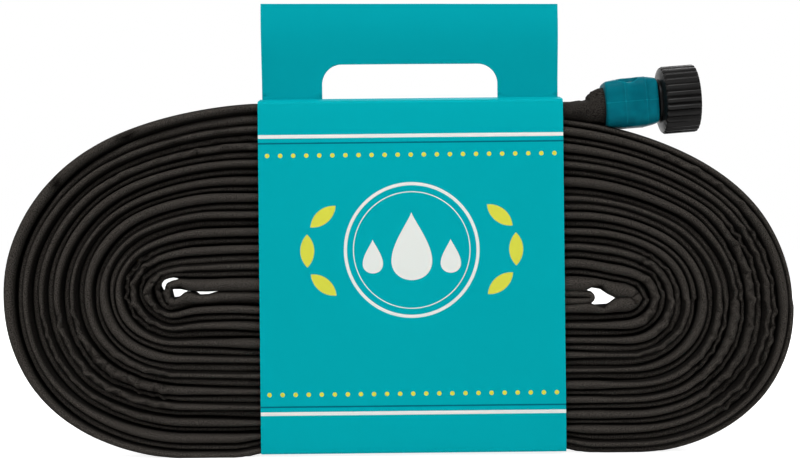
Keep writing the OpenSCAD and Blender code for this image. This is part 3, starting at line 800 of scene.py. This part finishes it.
def dropMask(tree, place, x, z, size):       # a circle that draws in to a point at the top
    spot = placed(tree, place, x, z, size * 0.62, size)
    up = spot["Z"]
    squared = addNode(tree, "Math", {0: up, 1: up}, operation="MULTIPLY").outputs[0]
    circle = addNode(tree, "Math", {0: 1.0, 1: squared}, operation="SUBTRACT").outputs[0]
    taper = addNode(tree, "Math", {0: up, 1: -0.5, 2: 0.5}, operation="MULTIPLY_ADD").outputs[0]
    taper = addNode(tree, "Math", {0: taper, 1: 0.0}, operation="MAXIMUM").outputs[0]
    taper = addNode(tree, "Math", {0: taper, 1: 1.5}, operation="POWER").outputs[0]
    inside = addNode(tree, "Math", {0: circle, 1: taper}, operation="MULTIPLY").outputs[0]
    inside = addNode(tree, "Math", {0: inside, 1: 1.9}, operation="MULTIPLY").outputs[0]
    halfWidth = addNode(tree, "Math", {0: inside, 1: 0.5}, operation="POWER").outputs[0]
    across = addNode(tree, "Math", {0: spot["X"]}, operation="ABSOLUTE").outputs[0]
    gap = addNode(tree, "Math", {0: halfWidth, 1: across}, operation="SUBTRACT").outputs[0]
    return edged(tree, gap, 0.2 / size)


def ringMask(tree, place, x, z, radius, thick):
    spot = placed(tree, place, x, z, radius, radius)
    far = addNode(tree, "CombineXYZ", {"X": spot["X"], "Y": spot["Z"]}).outputs["Vector"]
    far = addNode(tree, "VectorMath", {0: far}, operation="LENGTH").outputs["Value"]
    off = addNode(tree, "Math", {0: far, 1: 1.0}, operation="SUBTRACT").outputs[0]
    off = addNode(tree, "Math", {0: off}, operation="ABSOLUTE").outputs[0]
    left = addNode(tree, "Math", {0: thick / radius / 2, 1: off}, operation="SUBTRACT").outputs[0]
    return edged(tree, left, 0.25 / radius)


def leafMask(tree, place, x, z, size, turn):     # a lens between two arcs
    spot = placed(tree, place, x, z, size, size, turn)
    masks = []
    for side in (-1, 1):
        centre = (0.0, side * 0.95, 0.0)
        far = addNode(tree, "CombineXYZ", {"X": spot["X"], "Y": spot["Z"]}).outputs["Vector"]
        far = addNode(tree, "VectorMath", {0: far, 1: centre}, operation="DISTANCE").outputs["Value"]
        left = addNode(tree, "Math", {0: 1.38, 1: far}, operation="SUBTRACT").outputs[0]
        masks.append(edged(tree, left, 0.05))
    return addNode(tree, "Math", {0: masks[0], 1: masks[1]}, operation="MULTIPLY").outputs[0]


def dotRowMask(tree, place, x0, x1, z, radius, pitch):
    parts = addNode(tree, "SeparateXYZ", {0: place}).outputs
    along = addNode(tree, "Math", {0: parts["X"], 1: -x0 * mm}, operation="ADD").outputs[0]
    along = addNode(tree, "Math", {0: along, 1: pitch * mm / 2}, operation="PINGPONG").outputs[0]
    up = addNode(tree, "Math", {0: parts["Z"], 1: -z * mm}, operation="ADD").outputs[0]
    far = addNode(tree, "CombineXYZ", {"X": along, "Y": up}).outputs["Vector"]
    far = addNode(tree, "VectorMath", {0: far}, operation="LENGTH").outputs["Value"]
    left = addNode(tree, "Math", {0: radius * mm, 1: far}, operation="SUBTRACT").outputs[0]
    dots = edged(tree, left, 0.2 * mm)
    middle, reach = (x0 + x1) / 2 * mm, ((x1 - x0) / 2 + radius) * mm
    within = addNode(tree, "Math", {0: parts["X"], 1: middle, 2: reach}, operation="COMPARE").outputs[0]
    return addNode(tree, "Math", {0: dots, 1: within}, operation="MULTIPLY").outputs[0]


def stripeMask(tree, place, x0, x1, z, halfHeight):
    spot = placed(tree, place, (x0 + x1) / 2, z, (x1 - x0) / 2, halfHeight)
    inside = [addNode(tree, "Math", {0: spot[c], 1: 0.0, 2: 1.0}, operation="COMPARE").outputs[0]
              for c in ("X", "Z")]
    return addNode(tree, "Math", {0: inside[0], 1: inside[1]}, operation="MULTIPLY").outputs[0]


# Coated packing board, offset printed: flat even colour, a faint paper grain, matt varnish
card = {
    "teal": "#01a8b3", "tealDeep": "#01a1ab",
    "shadedHandleTeal": "#01a0ac", "shadedHandleDeep": "#0199a4",    # painted shade: the handle and the seam are a deeper teal than the sleeve
    "offWhite": "#e6e9e4", "darkTeal": "#03697a", "yellow": "#d8d94a",
    "cut": "#077d88",                        # the trimmed edge, a dark teal that is painted shade
    "grain": 0.35, "bump": 0.05,             # mm
    "cloudsPerMetre": 9.0, "fibresPerMetre": 1400.0,
    "roughness": 0.55,
}

# The print, in mm: x, z and sizes. A leaf's turn is in degrees, and stripes and rows of dots have two x.
badgeX, badgeZ = sleeve["x"], 103
dotsLeft, dotsRight = sleeveLeft + 4.5, sleeveRight - 4.5
printed = {
    "stripes": [(sleeveLeft, sleeveRight, z, half, ink) for z, half, ink in (
        (160, 0.9, "offWhite"), (156.6, 0.4, "darkTeal"), (22, 0.9, "offWhite"), (25.4, 0.4, "darkTeal"))],
    "dotRows": [(dotsLeft, dotsRight, z, 1.2, 6.5) for z in (150.5, 31.5)],
    "rings": [(badgeX, badgeZ, 33.0, 1.8), (badgeX, badgeZ, 29.0, 0.7)],
    "drops": [(badgeX, badgeZ + 2, 17), (badgeX - 19.4, badgeZ - 3, 8.5), (badgeX + 19.4, badgeZ - 3, 8.5)],
    "leaves": [(badgeX + x, badgeZ + z, 8.5, turn) for x, z, turn in (
        (-52, 0, 90), (52, 0, 90), (-44, -17, 40), (44, -17, 140), (-44, 17, 140), (44, 17, 40))],
    "frontOf": -12,                          # only the front face is printed
}


def printOn(tree, place, colour):            # the colour with the sleeve's print on it
    depth = addNode(tree, "SeparateXYZ", {0: place}).outputs["Y"]
    front = addNode(tree, "Math", {0: depth, 1: printed["frontOf"] * mm}, operation="LESS_THAN").outputs[0]
    layers = [(stripeMask(tree, place, *stripe), ink) for *stripe, ink in printed["stripes"]]
    layers += [(dotRowMask(tree, place, *row), "yellow") for row in printed["dotRows"]]
    layers += [(ringMask(tree, place, *ring), "offWhite") for ring in printed["rings"]]
    layers += [(dropMask(tree, place, *drop), "offWhite") for drop in printed["drops"]]
    layers += [(leafMask(tree, place, *leaf), "yellow") for leaf in printed["leaves"]]
    for mask, ink in layers:
        shown = addNode(tree, "Math", {0: mask, 1: front}, operation="MULTIPLY").outputs[0]
        inked = {"Factor": shown, "A": colour, "B": linear(card[ink])}
        colour = addNode(tree, "Mix", inked, data_type="RGBA").outputs["Result"]
    return colour


def makeCoatedCard(name, light, deep, withPrint):
    made, tree, shader = newMaterial(name, **{
        "Roughness": card["roughness"], "IOR": 1.45, "Specular IOR Level": 0.02})
    place = addNode(tree, "TexCoord").outputs["Object"]
    cloudy = addNode(tree, "TexNoise", {
        "Vector": place, "Scale": card["cloudsPerMetre"], "Detail": 2.0}).outputs["Fac"]
    colour = addNode(tree, "Mix", {
        "Factor": cloudy, "A": linear(light), "B": linear(deep)}, data_type="RGBA").outputs["Result"]
    if withPrint:
        colour = printOn(tree, place, colour)
    tree.links.new(colour, shader.inputs["Base Color"])
    grain = addNode(tree, "TexNoise", {"Vector": place, "Scale": 1 / (card["grain"] * mm), "Detail": 2.0})
    bump = addNode(tree, "Bump", {
        "Height": grain.outputs["Fac"], "Strength": 0.12, "Distance": card["bump"] * mm})
    tree.links.new(bump.outputs["Normal"], shader.inputs["Normal"])
    rubbed = addNode(tree, "MapRange", {
        "Value": cloudy, "To Min": card["roughness"] - 0.05, "To Max": card["roughness"] + 0.08})
    tree.links.new(rubbed.outputs["Result"], shader.inputs["Roughness"])
    return made


def makeShadedEdge():                           # the board seen edge on, painted dark teal as shade, with a fibre noise
    made, tree, shader = newMaterial("shadedBoardEdge", **{
        "Roughness": 0.8, "IOR": 1.45, "Specular IOR Level": 0.1})
    place = addNode(tree, "TexCoord").outputs["Object"]
    fibres = addNode(tree, "TexNoise", {
        "Vector": place, "Scale": card["fibresPerMetre"], "Detail": 2.0}).outputs["Fac"]
    tone = addNode(tree, "Mix", {
        "Factor": fibres, "A": linear(card["cut"]), "B": linear(card["darkTeal"])}, data_type="RGBA")
    tree.links.new(tone.outputs["Result"], shader.inputs["Base Color"])
    return made


# Injection moulded polypropylene: satin, with a very fine spark-eroded grain, faint flow marks and a painted
# highlight on its sharp edges
plastic = {
    # the second colour of each shows in faint flow marks and as a painted highlight on sharp edges
    "teal": "#015a69", "tealFlowAndHighlight": "#05808f", "black": "#0b0a0a", "blackFlowAndHighlight": "#191817",
    "grain": 0.28, "bump": 0.04,             # mm
    "flowPerMetre": 120.0,
}


def makePlastic(name, colour, flowAndHighlight, roughness, level):
    made, tree, shader = newMaterial(name, **{
        "Roughness": roughness, "IOR": 1.49, "Specular IOR Level": level})
    place = addNode(tree, "TexCoord").outputs["Object"]
    flow = addNode(tree, "TexNoise", {
        "Vector": place, "Scale": plastic["flowPerMetre"], "Detail": 3.0, "Distortion": 0.6}).outputs["Fac"]
    tone = addNode(tree, "MapRange", {"Value": flow, "From Min": 0.35, "From Max": 0.75})
    # painted highlight: sharp edges take the lighter colour
    edge = addNode(tree, "NewGeometry").outputs["Pointiness"]
    edgeHighlight = addNode(tree, "MapRange", {"Value": edge, "From Min": 0.52, "From Max": 0.6})
    tone = addNode(tree, "Math", {
        0: tone.outputs["Result"], 1: 0.45, 2: edgeHighlight.outputs["Result"],
    }, operation="MULTIPLY_ADD", use_clamp=True)
    mixed = addNode(tree, "Mix", {
        "Factor": tone.outputs[0], "A": linear(colour), "B": linear(flowAndHighlight)}, data_type="RGBA")
    tree.links.new(mixed.outputs["Result"], shader.inputs["Base Color"])
    grain = addNode(tree, "TexNoise", {
        "Vector": place, "Scale": 1 / (plastic["grain"] * mm), "Detail": 2.0}).outputs["Fac"]
    bump = addNode(tree, "Bump", {"Height": grain, "Strength": 0.2, "Distance": plastic["bump"] * mm})
    tree.links.new(bump.outputs["Normal"], shader.inputs["Normal"])
    polished = addNode(tree, "MapRange", {
        "Value": flow, "To Min": roughness - 0.06, "To Max": roughness + 0.1})
    tree.links.new(polished.outputs["Result"], shader.inputs["Roughness"])
    return made


# the handle's deeper teal is painted shade
shadedCoated = makeCoatedCard("shadedCoatedCard", card["shadedHandleTeal"], card["shadedHandleDeep"], False)
printedCard = makeCoatedCard("printedCard", card["teal"], card["tealDeep"], True)
shadedEdge = makeShadedEdge()
tealPlastic = makePlastic("tealPolypropylene", plastic["teal"], plastic["tealFlowAndHighlight"], 0.42, 0.03)
blackPlastic = makePlastic("blackPolypropylene", plastic["black"], plastic["blackFlowAndHighlight"], 0.28, 0.13)
# the second colour is for flow marks and a painted highlight on sharp edges
washerRubber = makePlastic("washerRubber", "#1e1e1e", "#2b2b2a", 0.7, 0.3)
whiteAcetal = makePlastic("whiteAcetal", "#d9d8d2", "#e6e5df", 0.45, 0.4)
print("materials made")


def finishMesh(name, work, materials, body, angle):      # a bmesh becomes a finished piece
    mesh = bpy.data.meshes.new(name)
    work.normal_update()
    work.to_mesh(mesh)
    work.free()
    piece = newPiece(name, mesh, materials[0], body)
    for extra in materials[1:]:
        mesh.materials.append(extra)
    mesh.set_sharp_from_angle(angle=math.radians(angle))
    return piece


def everything(work):
    return work.verts[:] + work.edges[:] + work.faces[:]


# The card sleeve, in mm: a wrap with rounded creases that the hose pushes out a little
wrap = {
    "halfDepth": 13.3, "bottom": 1.8, "crease": 177.5, "ridge": 180.0, "card": 0.5,
    "creaseRadius": 1.7, "bottomRadius": 1.1, "ridgeRadius": 1.2, "arcSteps": 5,
    "slices": 38, "sliceHeights": range(8, 176, 8),
    "bow": 0.28,                             # how far the hose pushes the flat faces out
}


def roundedLoop(corners):                    # corners as y, z, radius; arcs in their place
    points = []
    for i, (y, z, radius) in enumerate(corners):
        here = Vector((y, z))
        before, after = Vector(corners[i - 1][:2]) - here, Vector(corners[(i + 1) % len(corners)][:2]) - here
        before.normalize()
        after.normalize()
        half = before.angle(after) / 2
        cut = radius / math.tan(half)
        middle = here + (before + after).normalized() * radius / math.sin(half)
        start, end = here + before * cut - middle, here + after * cut - middle
        sweep = start.angle_signed(end)
        for k in range(wrap["arcSteps"] + 1):
            points.append(middle + Matrix.Rotation(-sweep * k / wrap["arcSteps"], 2) @ start)
    return points


def makeSleeve():
    w = wrap
    deep = w["halfDepth"]
    loop = roundedLoop([
        (-deep, w["bottom"], w["bottomRadius"]), (deep, w["bottom"], w["bottomRadius"]),
        (deep, w["crease"], w["creaseRadius"]), (0.0, w["ridge"], w["ridgeRadius"]),
        (-deep, w["crease"], w["creaseRadius"])])
    work = bmesh.new()
    ends = [work.verts.new((sleeveLeft * mm, p.x * mm, p.y * mm)) for p in loop]
    rim = [work.edges.new((ends[i], ends[(i + 1) % len(ends)])) for i in range(len(ends))]
    step = Vector((sleeve["width"] / w["slices"] * mm, 0, 0))
    for _ in range(w["slices"]):
        grown = bmesh.ops.extrude_edge_only(work, edges=rim)["geom"]
        bmesh.ops.translate(work, verts=[g for g in grown if isinstance(g, bmesh.types.BMVert)], vec=step)
        rim = [g for g in grown if isinstance(g, bmesh.types.BMEdge)]
    for z in w["sliceHeights"]:
        bmesh.ops.bisect_plane(work, geom=everything(work), plane_co=(0, 0, z * mm), plane_no=(0, 0, 1))
    for v in work.verts:
        x, z = v.co.x / mm - sleeve["x"], v.co.z / mm
        panel = between(z, 3, w["crease"] - 1, 12, 10) * abs(v.co.y / mm) / deep
        swell = 0.55 + 0.45 * wander(x / 24, z / 21) + 0.25 * wander(x / 60 + 3, z / 9)
        v.co.y += math.copysign(w["bow"] * panel * swell * mm, v.co.y)
    bmesh.ops.recalc_face_normals(work, faces=work.faces[:])
    bmesh.ops.solidify(work, geom=work.faces[:], thickness=w["card"] * mm)
    for face in work.faces:
        if abs(face.normal.x) > 0.7:
            face.material_index = 1
    piece = finishMesh("sleeve_wrap", work, [printedCard, shadedEdge], "pack", 50)
    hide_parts("card_sleeve")


def copyOfNode(name):                        # a CAD node's mesh, its loose triangles merged
    work = bmesh.new()
    work.from_mesh(nodes[name].data)
    bmesh.ops.remove_doubles(work, verts=work.verts[:], dist=0.002 * mm)
    bmesh.ops.dissolve_limit(work, angle_limit=math.radians(1), verts=work.verts[:], edges=work.edges[:])
    return work


def sliced(work, normal, stops):             # cut across at each stop, in mm, without taking it apart
    for stop in stops:
        place = [stop * mm * n for n in normal]
        bmesh.ops.bisect_plane(work, geom=everything(work), plane_co=place, plane_no=normal)


# The handle's two plies lean forward from the crease, in mm, and only their top edge comes back a little
handle = {
    "crease": 180.1, "top": 47.1, "forward": 3.9, "forwardTo": 38.0, "back": 0.4, "wave": 0.25,
    "skew": 0.78, "halfWidth": 75,           # how much lower its top is at the right, and higher at the left
}


def makeHandlePly(node, name):
    work = copyOfNode(node)
    bmesh.ops.triangulate(work, faces=[f for f in work.faces if len(f.verts) > 4])
    sliced(work, (0.0, 0.0, 1.0), [handle["crease"] + 1.5 + 2.2 * k for k in range(21)])
    sliced(work, (1.0, 0.0, 0.0), [sleeve["x"] - 70 + 10 * k for k in range(15)])
    for v in work.verts:
        x, h = v.co.x / mm - sleeve["x"], v.co.z / mm - handle["crease"]
        curve = handle["back"] * ease((h - handle["forwardTo"]) / (handle["top"] - handle["forwardTo"]))
        curve -= handle["forward"] * ease(h / handle["forwardTo"])
        curve += handle["wave"] * wander(x / 40, h / 24)
        v.co.y += curve * ease(h / 3) * mm
        v.co.z -= handle["skew"] * x / handle["halfWidth"] * max(h, 0) / handle["top"] * mm
    for face in work.faces:
        if abs(face.normal.y) < 0.6:
            face.material_index = 1
    piece = finishMesh(name, work, [shadedCoated, shadedEdge], "handle", 40)
    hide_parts(node)


makeSleeve()
makeHandlePly("handle_front_ply", "handle_front")
makeHandlePly("handle_back_ply", "handle_back")
print("card made")


# The collar's halves, in mm along the coupling's axis: a square with soft corners that narrows at both ends
collar = {
    "start": 0.8, "length": 26.5, "across": 25.0, "leadIn": 9.5, "runOut": 6.5, "narrow": 0.91,
    "endRadius": 1.6, "endStops": (0.25, 0.6, 1.1, 1.7, 2.4), "arrisStop": 0.35,
    "corner": 4.5,                           # superellipse power of the cross-section
    "bore": 9.0, "mouthWidening": 1.0, "partGap": 0.06, "lip": 0.2, "arris": 0.05, "segments": 144,
    "frontArris": 0.55,                      # the two ridges across the front and the back
    "padAt": 11.8, "padLength": 11.5, "padWidth": 8.4, "padDepth": 2.2, "padSide": -7.5,     # a recess
}


def alongAxis(work):                         # from the piece's own axis along z to the coupling's place
    turn = Matrix.Rotation(math.radians(90 - coupling["tilt"]), 4, "Y")
    bmesh.ops.transform(work, matrix=Matrix.Translation(mouth * mm) @ turn, verts=work.verts[:])


def spun(profile, steps):                    # a closed profile of radius and s, spun round the axis
    work = bmesh.new()
    verts = [work.verts.new((r * mm, 0, s * mm)) for r, s in profile]
    loop = [work.edges.new((verts[i], verts[(i + 1) % len(verts)])) for i in range(len(verts))]
    bmesh.ops.spin(work, geom=verts + loop, cent=(0, 0, 0), axis=(0, 0, 1), angle=2 * math.pi, steps=steps,
                   use_merge=True, use_duplicate=False)
    bmesh.ops.remove_doubles(work, verts=work.verts[:], dist=0.005 * mm)
    bmesh.ops.recalc_face_normals(work, faces=work.faces[:])
    return work


def collarScale(s):                          # how wide the collar is at s, as a share
    c = collar
    fromNut = c["length"] - s
    taper = 1 - (1 - c["narrow"]) * (2 - limit(s / c["leadIn"]) - limit(fromNut / c["runOut"]))
    inset = c["endRadius"] - min(s, fromNut, c["endRadius"])
    rounded = c["endRadius"] - math.sqrt(max(0, c["endRadius"] ** 2 - inset ** 2))
    arris = c["arris"] * (bell((s - c["leadIn"]) / 0.3) + bell((fromNut - c["runOut"]) / 0.3))
    return taper - (rounded - arris) / (c["across"] / 2)


def collarProfile():                         # radius and s, up the bore and back along the outside
    c = collar
    arrises = [at + d * c["arrisStop"] for at in (c["leadIn"], c["length"] - c["runOut"]) for d in (-1, 0, 1)]
    stops = {0, c["length"], *arrises, *c["endStops"], *(c["length"] - s for s in c["endStops"])}
    stops |= {k / 2 for k in range(6, 48)}
    widened = c["bore"] + c["mouthWidening"]
    return ([(c["bore"], s) for s in (c["length"], 20.0, 10.0, 0.0)] + [(widened, 0.0)]
            + [(c["across"] / 2, s) for s in sorted(stops)] + [(widened, c["length"])])


def onCollar(up, side, s, half):             # where a point of the spun outside goes
    c = collar
    angle = math.atan2(side, up)
    square = (abs(math.cos(angle)) ** c["corner"] + abs(math.sin(angle)) ** c["corner"]) ** (-1 / c["corner"])
    size = collarScale(s) * square
    up, side = up * size, side * size
    inPad = math.hypot((s - c["padAt"]) / (c["padLength"] / 2), (side - c["padSide"]) / (c["padWidth"] / 2))
    if up < -6 and half > 0:
        up += c["padDepth"] * (1 - ease((inPad - 0.84) / 0.16))
    if abs(side) > 10.5:
        nearEdge = bell((s - c["leadIn"]) / 0.9) + bell((s - c["length"] + c["runOut"]) / 0.9)
        side += math.copysign(c["frontArris"] * nearEdge + (c["lip"] / 2 if half < 0 else 0), side)
    return up, side


def makeCollarHalf(half, name, node):
    c = collar
    work = spun(collarProfile(), c["segments"])
    for v in work.verts:
        up, side, s = v.co / mm
        if math.hypot(up, side) > c["bore"] + 2:
            up, side = onCollar(up, side, s, half)
        v.co = up * mm, side * mm, (s + c["start"]) * mm
    cut = bmesh.ops.bisect_plane(work, geom=everything(work), plane_co=(-half * c["partGap"] / 2 * mm, 0, 0),
                                 plane_no=(half, 0, 0), clear_outer=True)["geom_cut"]
    bmesh.ops.holes_fill(work, edges=[e for e in cut if isinstance(e, bmesh.types.BMEdge)], sides=0)
    alongAxis(work)
    piece = finishMesh(name, work, [tealPlastic], "pack", 28)
    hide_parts(node)


# The swivel nut, in mm from its back face: a boss, a bevelled shoulder, ribs all round and a thread inside
nut = {
    "back": 27.9, "length": 19.4, "radius": 17.05,
    "ribs": 28, "ribSteps": 8, "ribDepth": 1.3, "ribStart": 2.4,
    "neck": 8.08, "boss": 11.0, "bossLength": 1.1, "wall": 2.4, "chamber": 12.65, "chamberEnd": 8.3,
    "threadCrest": 12.3, "threadRoot": 13.5, "pitch": 2.209, "threads": 4,
}


def nutProfile():                            # radius and s, along the outside and back through the thread
    n = nut
    outside = [
        (n["neck"], 0.0), (n["boss"] - 0.3, 0.0), (n["boss"], 0.3), (n["boss"], n["bossLength"]),
        (n["boss"] + 2.4, n["bossLength"] + 0.1), (n["boss"] + 2.9, n["bossLength"] + 0.35),
        (n["radius"] - 0.9, n["ribStart"] - 0.2), (n["radius"] - 0.35, n["ribStart"] + 0.25),
        (n["radius"], n["ribStart"] + 0.9), (n["radius"], 10.0), (n["radius"], n["length"] - 0.9),
        (n["radius"] - 0.12, n["length"] - 0.4), (n["radius"] - 0.45, n["length"] - 0.08),
        (n["radius"] - 0.9, n["length"]), (n["threadRoot"] + 0.2, n["length"]),
    ]
    inside = [(n["threadCrest"] + 0.1, n["length"] - 0.7)]
    for k in range(n["threads"]):
        s = n["length"] - n["pitch"] * (k + 1)
        inside += [(n["threadCrest"], s + 0.85), (n["threadRoot"], s + 0.22), (n["threadRoot"], s - 0.22),
                   (n["threadCrest"], s - 0.85)]
    inside += [(n["threadCrest"], n["chamberEnd"]), (n["chamber"], n["chamberEnd"] - 0.1),
               (n["chamber"], n["wall"]), (n["neck"], n["wall"])]
    return outside + inside


def makeNut():
    n = nut
    work = spun(nutProfile(), n["ribs"] * n["ribSteps"])
    for v in work.verts:
        r, s = math.hypot(v.co.x, v.co.y) / mm, v.co.z / mm
        if r > n["radius"] - 0.5 and s > n["ribStart"] - 0.1:
            phase = math.atan2(v.co.y, v.co.x) * n["ribs"]
            groove = math.cos(phase) * 0.5 + 0.5
            size = 1 - n["ribDepth"] * groove ** 1.6 / r
            v.co.x, v.co.y = v.co.x * size, v.co.y * size
        v.co.z += n["back"] * mm
    alongAxis(work)
    piece = finishMesh("ribbed_nut", work, [blackPlastic], "nut", 40)
    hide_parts("swivel_nut")


makeCollarHalf(1, "collar_upper_half", "collar_upper")
makeCollarHalf(-1, "collar_lower_half", "collar_lower")
makeNut()
print("coupling made")


# The other CAD nodes keep their shape and take their finish
finishes = {
    "hose_cuff": makeWovenHose("wovenPolyesterCuff", False), "tailpiece": blackPlastic,
    "sealing_washer": washerRubber, "flow_disc": whiteAcetal, "end_clip_upper": tealPlastic,
    "end_clip_lower": tealPlastic, "card_seam": shadedCoated,
}
for name, finish in finishes.items():
    nodes[name].data.materials.clear()
    nodes[name].data.materials.append(finish)


# A pale floor and a white room, in metres and watts; the lamps face the middle of the pack
studio = {
    "floorSize": 6.0, "floorGrey": 0.8, "floorGlow": 0.88, "roomLight": 0.07, "lookAt": (0, 0, 0.1),
    "lamps": [
        ("overhead", (0.0, -0.75, 1.45), (1.2, 0.8), 20), ("fromLeft", (-1.2, -1.3, 0.9), (0.8, 0.8), 7.5),
        ("fromRight", (1.3, -1.2, 0.6), (0.8, 0.8), 5), ("fromBehind", (0.5, 1.6, 1.0), (1.0, 0.8), 9),
    ],
}


def seenStraight(tree):                      # 1 for a ray from the camera, from a mirror or through glass
    paths = addNode(tree, "LightPath").outputs
    seen = addNode(tree, "Math", {
        0: paths["Is Camera Ray"], 1: paths["Is Glossy Ray"]}, operation="MAXIMUM").outputs["Value"]
    return addNode(tree, "Math", {
        0: seen, 1: paths["Is Transmission Ray"]}, operation="MAXIMUM").outputs["Value"]


def makeFloor():
    grey = studio["floorGrey"]
    pale, tree, shader = newMaterial("paleFloor", **{"Roughness": 0.9, "Base Color": (grey, grey, grey, 1)})
    glow = addNode(tree, "Emission", {"Color": (1, 1, 1, 1), "Strength": studio["floorGlow"]})
    both = addNode(tree, "AddShader", {0: shader.outputs["BSDF"], 1: glow.outputs["Emission"]})
    chosen = addNode(tree, "MixShader", {
        0: seenStraight(tree), 1: shader.outputs["BSDF"], 2: both.outputs["Shader"]})
    tree.links.new(chosen.outputs["Shader"], tree.nodes["Material Output"].inputs["Surface"])
    mesh = bpy.data.meshes.new("floor")
    work = bmesh.new()
    bmesh.ops.create_grid(work, x_segments=1, y_segments=1, size=studio["floorSize"])
    work.to_mesh(mesh)
    work.free()
    mesh.materials.append(pale)
    floor = bpy.data.objects.new("floor", mesh)
    bpy.context.scene.collection.objects.link(floor)


def makeRoom():
    room = bpy.data.worlds.new("studio")
    room.use_nodes = True
    bpy.context.scene.world = room
    tree = room.node_tree
    strength = addNode(tree, "MapRange", {
        "Value": seenStraight(tree), "To Min": studio["roomLight"], "To Max": 1.0})
    back = tree.nodes["Background"]
    back.inputs["Color"].default_value = (1, 1, 1, 1)
    tree.links.new(strength.outputs["Result"], back.inputs["Strength"])


def addLamp(name, place, size, power):
    data = bpy.data.lights.new(name, "AREA")
    data.shape = "RECTANGLE"
    data.size, data.size_y = size
    data.energy = power
    lamp = bpy.data.objects.new(name, data)
    lamp.location = place
    lamp.rotation_mode = "QUATERNION"
    lamp.rotation_quaternion = (Vector(studio["lookAt"]) - Vector(place)).to_track_quat("-Z", "Y")
    bpy.context.scene.collection.objects.link(lamp)


bpy.context.scene.view_settings.view_transform = "Standard"
makeFloor()
makeRoom()
for lamp in studio["lamps"]:
    addLamp(*lamp)
print("studio made")
